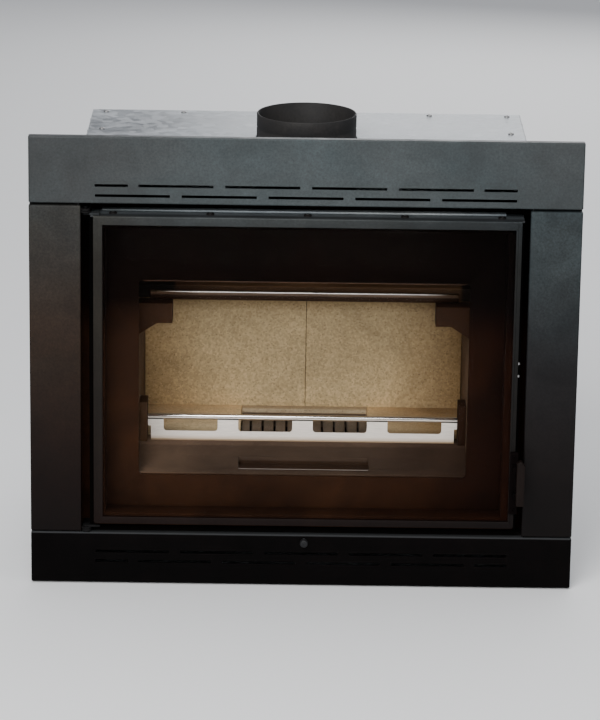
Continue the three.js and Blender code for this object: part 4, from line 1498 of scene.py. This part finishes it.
@dataclass
class FireBed:
    """Loose pieces of the firebox: grate, ash pan, log guard, baffle and its rail."""

    middle: float = 3.0
    grate_half: float = 96.0
    grate_y: Span = (196.0, 335.0)
    grate_z: Span = (147.3, 166.5)
    slots: int = 10
    pitch: float = 18.35
    slot_half: float = 1.5
    slot_y: Span = (208.0, 323.0)
    slot_z: Span = (140.0, 180.0)
    worn: tuple[float, float, float] = (1.7, 164.8, 167.0)
    worn_y: Span = (206.5, 324.5)
    under_half: float = 5.2
    under_y: Span = (207.0, 324.0)
    under_z: Span = (140.0, 156.0)
    pan_x: Span = (-79.0, 85.0)
    pan_y: Span = (209.0, 322.0)
    pan_z: Span = (90.8, 141.0)
    pan_sheet: float = 1.5
    pan_open: float = 160.0
    flange_half: float = 234.5
    guard_half: float = 230.0
    guard_y: Span = (170.0, 172.0)
    guard_z: Span = (172.3, 207.8)
    shoulder_low: float = 193.6
    flange_y: Span = (168.5, 187.0)
    flange_z: Span = (206.6, 208.6)
    fold_y: Span = (185.0, 187.0)
    fold_z: Span = (199.6, 208.0)
    lip_y: Span = (166.9, 171.2)
    lip_z: Span = (172.3, 173.4)
    windows: int = 4
    window_pitch: float = 113.1
    window_half: float = 41.0
    window_y: Span = (169.0, 176.0)
    window_z: Span = (186.0, 206.4)
    window_corner: float = 5.0
    roll: tuple[float, float, float, float] = (234.0, 170.3, 209.9, 2.3)
    slab: tuple[Span, Span, Span] = ((-268, 268), (150, 379.7), (400.3, 420.3))
    rail: tuple[float, float, float, float] = (230.0, 142.7, 407.3, 7.0)
    rail_bead: tuple[float, float, float, float] = (229.0, 139.6, 413.2, 1.3)

    def build(self) -> None:
        """Make the loose pieces."""
        self.grate()
        self.pan()
        self.guard()
        Blank().block(*self.slab, 1.5, 3).finish(
            "baffle_board", Palette.BAFFLE, Body.BAFFLE, ["baffle_slab"], 40)
        self.bar(self.rail, 40, 1.4, 4).finish("baffle_bar", Palette.RAIL, Body.BAFFLE, ["baffle_rail"], 40)
        # The bead is a bright strip along the rail's top that stands in for the rail's highlight.
        self.bar(self.rail_bead, 16, 0.4).finish("baffle_bar_highlight_bead", Palette.BEAD, Body.BAFFLE, smooth=50)

    @staticmethod
    def bar(size: tuple[float, float, float, float], sides: int, edge: float, steps: int = 2) -> Blank:
        """Make a round bar that lies along X.

        Args:
            size: Half its length, its depth, its height and its radius.
            sides: Number of sides.
            edge: Radius of the rims.
            steps: Segments of each rim.

        Returns:
            The bar.
        """
        half, y, z, radius = size
        return Blank().rod((-half, y, z), (half, y, z), radius, sides, edge, steps)

    def places(self, count: int) -> list[float]:
        """Give the places of slots or bars side by side on the grate.

        Args:
            count: How many there are.

        Returns:
            Their middles along X.
        """
        return [self.middle + (index - (count - 1) / 2) * self.pitch for index in range(count)]

    def grate(self) -> None:
        """Make the grate: a rimmed cast plate with worn slots and bars deeper below."""
        wide = (self.middle - self.grate_half, self.middle + self.grate_half)
        grate = Blank().block(wide, self.grate_y, self.grate_z, 1.6, 3)
        slots, chamfers, below = Blank(), Blank(), Blank()
        spread, low, high = self.worn
        for x in self.places(self.slots):
            left, right = x - self.slot_half, x + self.slot_half
            slots.block((left, right), self.slot_y, self.slot_z)
            chamfers.prism([(left, low), (right, low), (right + spread, high), (left - spread, high)],
                           Axis.Y, self.worn_y)
        grate.cut(slots, chamfers)
        for x in self.places(self.slots - 1):
            below.block((x - self.under_half, x + self.under_half), self.under_y, self.under_z)
        grate.cut(below)
        grate.finish("grate_casting", Palette.IRON, Body.GRATE, ["grate"], 30)

    def pan(self) -> None:
        """Make the ash pan as a folded tray."""
        x, y, z = self.pan_x, self.pan_y, self.pan_z
        sheet = self.pan_sheet
        pan = Blank().block(x, y, z, 3.0, 4)
        pan.cut(Blank().block((x[0] + sheet, x[1] - sheet), (y[0] + sheet, y[1] - sheet),
                              (z[0] + sheet, self.pan_open), 2.0, 3))
        pan.finish("ash_tray", Palette.SHELL, Body.PAN, ["ash_pan"])

    def guard(self) -> None:
        """Make the log guard: a plate with windows under a flange that is folded down again behind."""
        wide = (-self.flange_half, self.flange_half)
        narrow = (-self.guard_half, self.guard_half)
        guard = Blank().block(narrow, self.guard_y, self.guard_z, 0.7, 3)
        guard.weld(Blank().block(wide, self.guard_y, (self.shoulder_low, self.guard_z[1]), 0.7, 3),
                   Blank().block(wide, self.flange_y, self.flange_z, 0.8, 3),
                   Blank().block(wide, self.fold_y, self.fold_z, 0.6),
                   Blank().block(narrow, self.lip_y, self.lip_z, 0.4))
        windows = Blank()
        for index in range(self.windows):
            x = (index - (self.windows - 1) / 2) * self.window_pitch
            hole = Blank().block((x - self.window_half, x + self.window_half), self.window_y, self.window_z)
            hole.round(hole.edges_along_y(below=sum(self.window_z) / 2), self.window_corner, 6)
            windows.add(hole)
        guard.cut(windows)
        guard.finish("guard_sheet", Palette.GUARD, Body.GUARD, ["log_guard"])
        self.bar(self.roll, 28, 0.5).finish("guard_roll", Palette.ROLL, Body.GUARD, smooth=50)


# ---- door ------------------------------------------------------------------------------------


@dataclass
class Door:
    """Glazed door: front frame, glass, body, channel, seal, hinge washers, catch blade and handle."""

    body_x: Span = (-313.0, 316.5)
    body_y: Span = (3.6, 41.0)
    body_z: Span = (92.0, 560.0)
    body_bars: Pair = (23.0, 18.0)
    frame_x: Span = (-306.5, 312.5)
    frame_y: Span = (-7.0, -1.0)
    frame_z: Span = (96.7, 563.0)
    frame_corner: float = 4.0
    bar_left: float = 13.0
    bar_right: float = 8.3
    bar_top: float = 12.5
    bar_bottom: float = 10.5
    mitre_half: float = 0.22
    mitre_deep: float = 0.35
    groove_x: float = 307.2
    groove_half: float = 0.55
    groove_deep: float = 1.1
    glass_inset: float = 2.0
    glass_y: Span = (-0.7, 3.3)
    glass_z: Span = (98.7, 559.0)
    channel_inset: float = 2.0
    channel_y: Span = (-0.7, 41.0)
    channel_z: Span = (560.3, 563.0)
    strip: tuple[Span, Span, Span] = ((-295.7, 291), (27, 41), (563.1, 566))
    screw_middle: Pair = (2.75, 13.5)
    screw_pitch: float = 140.7
    screw_count: int = 5
    socket: tuple[Pair, ...] = ((0, 0), (2.6, 0), (2.4, 0.6), (0, 0.9))
    socket_up: float = 2.0
    rope_half: float = 306.0
    rope_y: Span = (41.3, 49.7)
    rope_z: Span = (97.0, 551.0)
    rope_wide: float = 10.0
    rope_cut_y: Span = (30.0, 60.0)
    pin: Point = (-318.0, 5.0, 0)
    washer: tuple[float, float, float] = (4.4, 7.6, 8.0)
    washer_edge: float = 0.4
    washer_upper: Span = (566.4, 568.9)
    washer_lower: Span = (86.1, 88.5)
    blade_foot: tuple[Span, Span, Span] = ((307, 316), (41.3, 44.3), (326.5, 354.5))
    blade: tuple[Span, Span, Span] = ((307, 313), (43, 74), (337.7, 343.3))
    edge_screw: Pair = (312.5, -3.6)
    edge_screw_z: tuple[float, ...] = (350.0, 331.0)
    grip_plate: tuple[Span, Span, Span] = ((305, 317), (-10.3, -7.3), (120, 216))
    grip_post_x: Span = (309.0, 317.0)
    grip_post_y: Span = (-26.0, -9.0)
    grip_posts: tuple[Span, Span] = ((147, 157), (188, 198))
    grip_outline: tuple[Pair, ...] = ((313.6, 141), (325.6, 141), (325.6, 204), (319.6, 211), (313.6, 207))
    grip_y: Span = (-38.0, -26.3)
    grip_screw: Pair = (311.0, -10.3)
    grip_screw_z: tuple[float, ...] = (127.5, 208.5)

    def build(self) -> None:
        """Make every piece of the door."""
        self.front_frame()
        self.body()
        Blank().block((self.frame_x[0] + self.glass_inset, self.frame_x[1] - self.glass_inset), self.glass_y,
                      self.glass_z, 0.7).finish("glass_pane", Palette.GLASS, Body.DOOR, ["door_glass"])
        self.channel()
        self.rope()
        self.washers()
        self.catch_blade()
        self.handle()
        places = [(*self.edge_screw, z) for z in self.edge_screw_z]
        screws("edge_screws", places, Axis.X, 1, Body.DOOR, head=EDGE_HEAD)

    def front_frame(self) -> None:
        """Make the front frame with mitred corners and the seam along its right bar."""
        x, y, z = self.frame_x, self.frame_y, self.frame_z
        frame = Blank().block(x, y, z)
        frame.round(frame.edges_along_y(below=sum(z) / 2), self.frame_corner, 5)
        inner_x = (x[0] + self.bar_left, x[1] - self.bar_right)
        inner_z = (z[0] + self.bar_bottom, z[1] - self.bar_top)
        frame.cut(Blank().block(inner_x, (y[0] - 5, y[1] + 5), inner_z))
        frame.round_sharp(1.0, 3)
        marks = Blank()
        for up, across in product((1, 0), (0, 1)):
            marks.add(self.mitre((x[across], z[up]), (inner_x[across], inner_z[up])))
        frame.cut(marks)
        frame.cut(Blank().block((self.groove_x - self.groove_half, self.groove_x + self.groove_half),
                                (y[0] - 1, y[0] + self.groove_deep), (inner_z[0] - 2, z[1] - 3)))
        frame.finish("frame_bars", Palette.DOOR, Body.DOOR, ["door_frame"])

    def mitre(self, start: Pair, end: Pair) -> Blank:
        """Give the cutter for a fine line across a corner of the frame.

        Args:
            start: The outer corner, X and Z.
            end: The inner corner, X and Z.

        Returns:
            The cutter.
        """
        a, b = Vector((start[0], 0, start[1])), Vector((end[0], 0, end[1]))
        line = b - a
        front = self.frame_y[0]
        cutter = Blank().block((-line.length, line.length), (front - 1, front + self.mitre_deep),
                               (-self.mitre_half, self.mitre_half))
        turn = Matrix.Translation(a) @ Matrix.Rotation(-math.atan2(line.z, line.x), 4, "Y")
        bmesh.ops.transform(cutter.bm, matrix=turn, verts=cutter.bm.verts[:])
        return cutter

    def body(self) -> None:
        """Make the box-section ring behind the frame."""
        x, y, z = self.body_x, self.body_y, self.body_z
        across, upright = self.body_bars
        ring = Blank().block(x, y, z)
        ring.cut(Blank().block((x[0] + across, x[1] - across), (y[0] - 5, y[1] + 5),
                               (z[0] + upright, z[1] - upright)))
        ring.round_sharp(1.6, 3)
        ring.finish("door_ring", Palette.RING, Body.DOOR, ["door_body"])

    def channel(self) -> None:
        """Make the channel over the door's top edge, its strip and its screws."""
        # The channel and its strip carry painted light: lighter copies of the door paint.
        Blank().block((self.body_x[0] + self.channel_inset, self.body_x[1]), self.channel_y, self.channel_z,
                      0.9, 3).finish("top_channel", Palette.CHANNEL, Body.DOOR, ["door_top_rail"])
        Blank().block(*self.strip, 0.9, 3).finish("top_strip", Palette.STRIP, Body.DOOR)
        x, y = self.screw_middle
        reach = self.screw_count // 2
        places = [(x + index * self.screw_pitch, y, self.channel_z[1]) for index in range(-reach, reach + 1)]
        screws("top_channel_screws", places, Axis.Z, 1, Body.DOOR, Palette.SCREW_BLACK, CHANNEL_HEAD)
        sockets = Blank()
        for x, y, z in places:
            sockets.turned(self.socket, (x, y, z + self.socket_up), Axis.Z, 24)
        sockets.finish("top_channel_sockets", Palette.SCREW, Body.DOOR, smooth=40)

    def rope(self) -> None:
        """Make the seal rope let into the rear of the door."""
        half, wide, (low, high) = self.rope_half, self.rope_wide, self.rope_z
        rope = Blank().block((-half, half), self.rope_y, (low, high))
        rope.cut(Blank().block((wide - half, half - wide), self.rope_cut_y, (low + wide, high - wide)))
        rope.round_sharp(3.4, 5)
        rope.finish("rope_ring", Palette.ROPE, Body.DOOR, ["rope_seal"], 60)

    def washers(self) -> None:
        """Lay a washer on each hinge pin."""
        bore, rim, radius = self.washer
        for name, (low, high) in (("upper", self.washer_upper), ("lower", self.washer_lower)):
            profile = [(bore, low), (rim, low), (radius, low + self.washer_edge),
                       (radius, high - self.washer_edge), (rim, high), (bore, high)]
            Blank().turned(profile, self.pin, Axis.Z, 32, closed=True).finish(
                "pin_washer_" + name, Palette.HINGE, Body.DOOR)

    def catch_blade(self) -> None:
        """Make the blade that the rollers grip."""
        blade = Blank().block(*self.blade_foot, 0.6)
        blade.weld(Blank().block(*self.blade, 1.2, 4))
        blade.finish("catch_blade", Palette.SCREW, Body.DOOR, ["catch_tongue"])

    def handle(self) -> None:
        """Make the handle's bracket, its grip and its screws."""
        bracket = Blank().block(*self.grip_plate, 0.8, 3)
        for high in self.grip_posts:
            bracket.weld(Blank().block(self.grip_post_x, self.grip_post_y, high, 1.0, 3))
        bracket.finish("grip_bracket", Palette.DARK, Body.DOOR, ["handle_bracket"])
        Blank().prism(self.grip_outline, Axis.Y, self.grip_y, 1.6, 4).finish(
            "grip", Palette.GRIP, Body.DOOR, ["handle_lever"])
        places = [(*self.grip_screw, z) for z in self.grip_screw_z]
        screws("grip_screws", places, Axis.Y, -1, Body.DOOR, Palette.DARK, GRIP_HEAD)


# ---- air control -----------------------------------------------------------------------------


@dataclass
class AirControl:
    """Knob of the air control; its slide and guide stay plain behind the panel."""

    place: Point = (4.0, 0, 72.0)
    profile: tuple[Pair, ...] = ((0, -6.3), (3.6, -6.3), (4.4, -7.0), (4.4, -8.2), (5.6, -9.2), (6, -10.2),
                                 (6, -15.6), (5.3, -17.2), (4.0, -17.9), (0, -18.0))

    def build(self) -> None:
        """Make the knob."""
        Blank().turned(self.profile, self.place, Axis.Y, 40).finish(
            "knob", Palette.KNOB, Body.AIR, ["air_knob"])


# ---- studio ----------------------------------------------------------------------------------


@dataclass(frozen=True)
class SoftBox:
    """A soft light, with its size in metres and its power in watts."""

    name: str
    place: Point
    aim: Point
    size: Span
    power: float

    def hang(self) -> None:
        """Hang the light in the scene."""
        data = bpy.data.lights.new(self.name, "AREA")
        data.shape = "RECTANGLE"
        data.size, data.size_y = self.size
        data.energy = self.power
        light = bpy.data.objects.new(self.name, data)
        turn = (Vector(self.aim) - Vector(self.place)).to_track_quat("-Z", "Y").to_matrix().to_4x4()
        light.matrix_world = Matrix.Translation(self.place) @ turn
        light.visible_camera = False
        bpy.context.scene.collection.objects.link(light)


@dataclass
class Studio:
    """Camera at the photograph's angle, soft lights and a plain pale floor."""

    place: Point = (-0.013, -5.196, 1.8058)
    pitch: float = 16.25
    yaw: float = 0.06
    roll: float = 0.80
    focal: float = 3570.0
    frame_high: float = 720.0
    frame_wide: float = 600.0
    middle: Span = (298.4, 360.95)
    sensor: float = 36.0
    far: float = 60.0
    lights: tuple[SoftBox, ...] = (
        SoftBox("low_front", (-0.2, -3.4, 1.1), (0, 0, 0.4), (2.6, 1.2), 50.0),
        SoftBox("key", (-1.0, -2.9, 3.1), (0, 0, 0.3), (2.0, 2.0), 135.0),
        SoftBox("fill", (2.6, -2.2, 1.6), (0, 0, 0.35), (1.8, 1.8), 12.0),
        SoftBox("top", (0.2, 0.6, 3.4), (0, 0, 0.3), (2.6, 2.6), 35.0),
        SoftBox("back", (0.8, 3.8, 1.8), (0, 0, 0.4), (2.4, 2.4), 45.0))
    sky: tuple[float, float, float, float] = (0.9, 0.93, 1.0, 1.0)
    sky_strength: float = 0.4
    floor_size: float = 14.0
    floor_tone: Colour = (0.86, 0.86, 0.86)
    floor_rough: float = 0.9

    def build(self) -> None:
        """Set up the camera, the lights, the surroundings and the floor."""
        self.camera()
        for light in self.lights:
            light.hang()
        self.world()
        self.floor()

    def camera(self) -> None:
        """Create the camera and make it the scene's own."""
        data = bpy.data.cameras.new("camera")
        data.sensor_width = self.sensor
        data.lens = self.focal * self.sensor / self.frame_high
        data.shift_x = (self.frame_wide / 2 - self.middle[0]) / self.frame_high
        data.shift_y = (self.middle[1] - self.frame_high / 2) / self.frame_high
        data.clip_end = self.far
        camera = bpy.data.objects.new("camera", data)
        turn = (Matrix.Rotation(-math.radians(self.yaw), 4, "Z")
                @ Matrix.Rotation(math.radians(90 - self.pitch), 4, "X")
                @ Matrix.Rotation(math.radians(self.roll), 4, "Z"))
        camera.matrix_world = Matrix.Translation(self.place) @ turn
        bpy.context.scene.collection.objects.link(camera)
        bpy.context.scene.camera = camera

    def world(self) -> None:
        """Set an even pale surrounding light."""
        world = bpy.data.worlds.new("studio")
        bpy.context.scene.world = world
        world.use_nodes = True
        backdrop = world.node_tree.nodes["Background"]
        backdrop.inputs[0].default_value = self.sky
        backdrop.inputs[1].default_value = self.sky_strength

    def floor(self) -> None:
        """Lay the floor."""
        bm = bmesh.new()
        bmesh.ops.create_grid(bm, x_segments=1, y_segments=1, size=self.floor_size)
        mesh = bpy.data.meshes.new("floor")
        bm.to_mesh(mesh)
        bm.free()
        recipe = Recipe("floor_pale")
        recipe.set("Base Color", self.floor_tone)
        recipe.set("Roughness", self.floor_rough)
        mesh.materials.append(recipe.material)
        floor = bpy.data.objects.new("floor", mesh)
        bpy.context.scene.collection.objects.link(floor)


def main() -> None:
    """Load the frame and build the stove around it."""
    logging.basicConfig(level=logging.INFO, format="%(name)s: %(message)s", stream=sys.stdout)
    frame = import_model()
    dress(frame, Palette.ZINC, "air_guide", "air_slide")
    dress(frame, Palette.SHELL, "firebox_left", "firebox_right", "firebox_back", "firebox_floor",
          "firebox_roof", "ash_well")
    dress(frame, Palette.HINGE, "hinge_plate_upper", "hinge_plate_lower", "hinge_lug_lower")
    dress(frame, Palette.LUG, "hinge_lug_upper")
    for group in (Surround(), Casing(), FrontPlate(), Firebox(), FireBed(), Door(), AirControl(), Studio()):
        group.build()


if __name__ == "__main__":
    main()
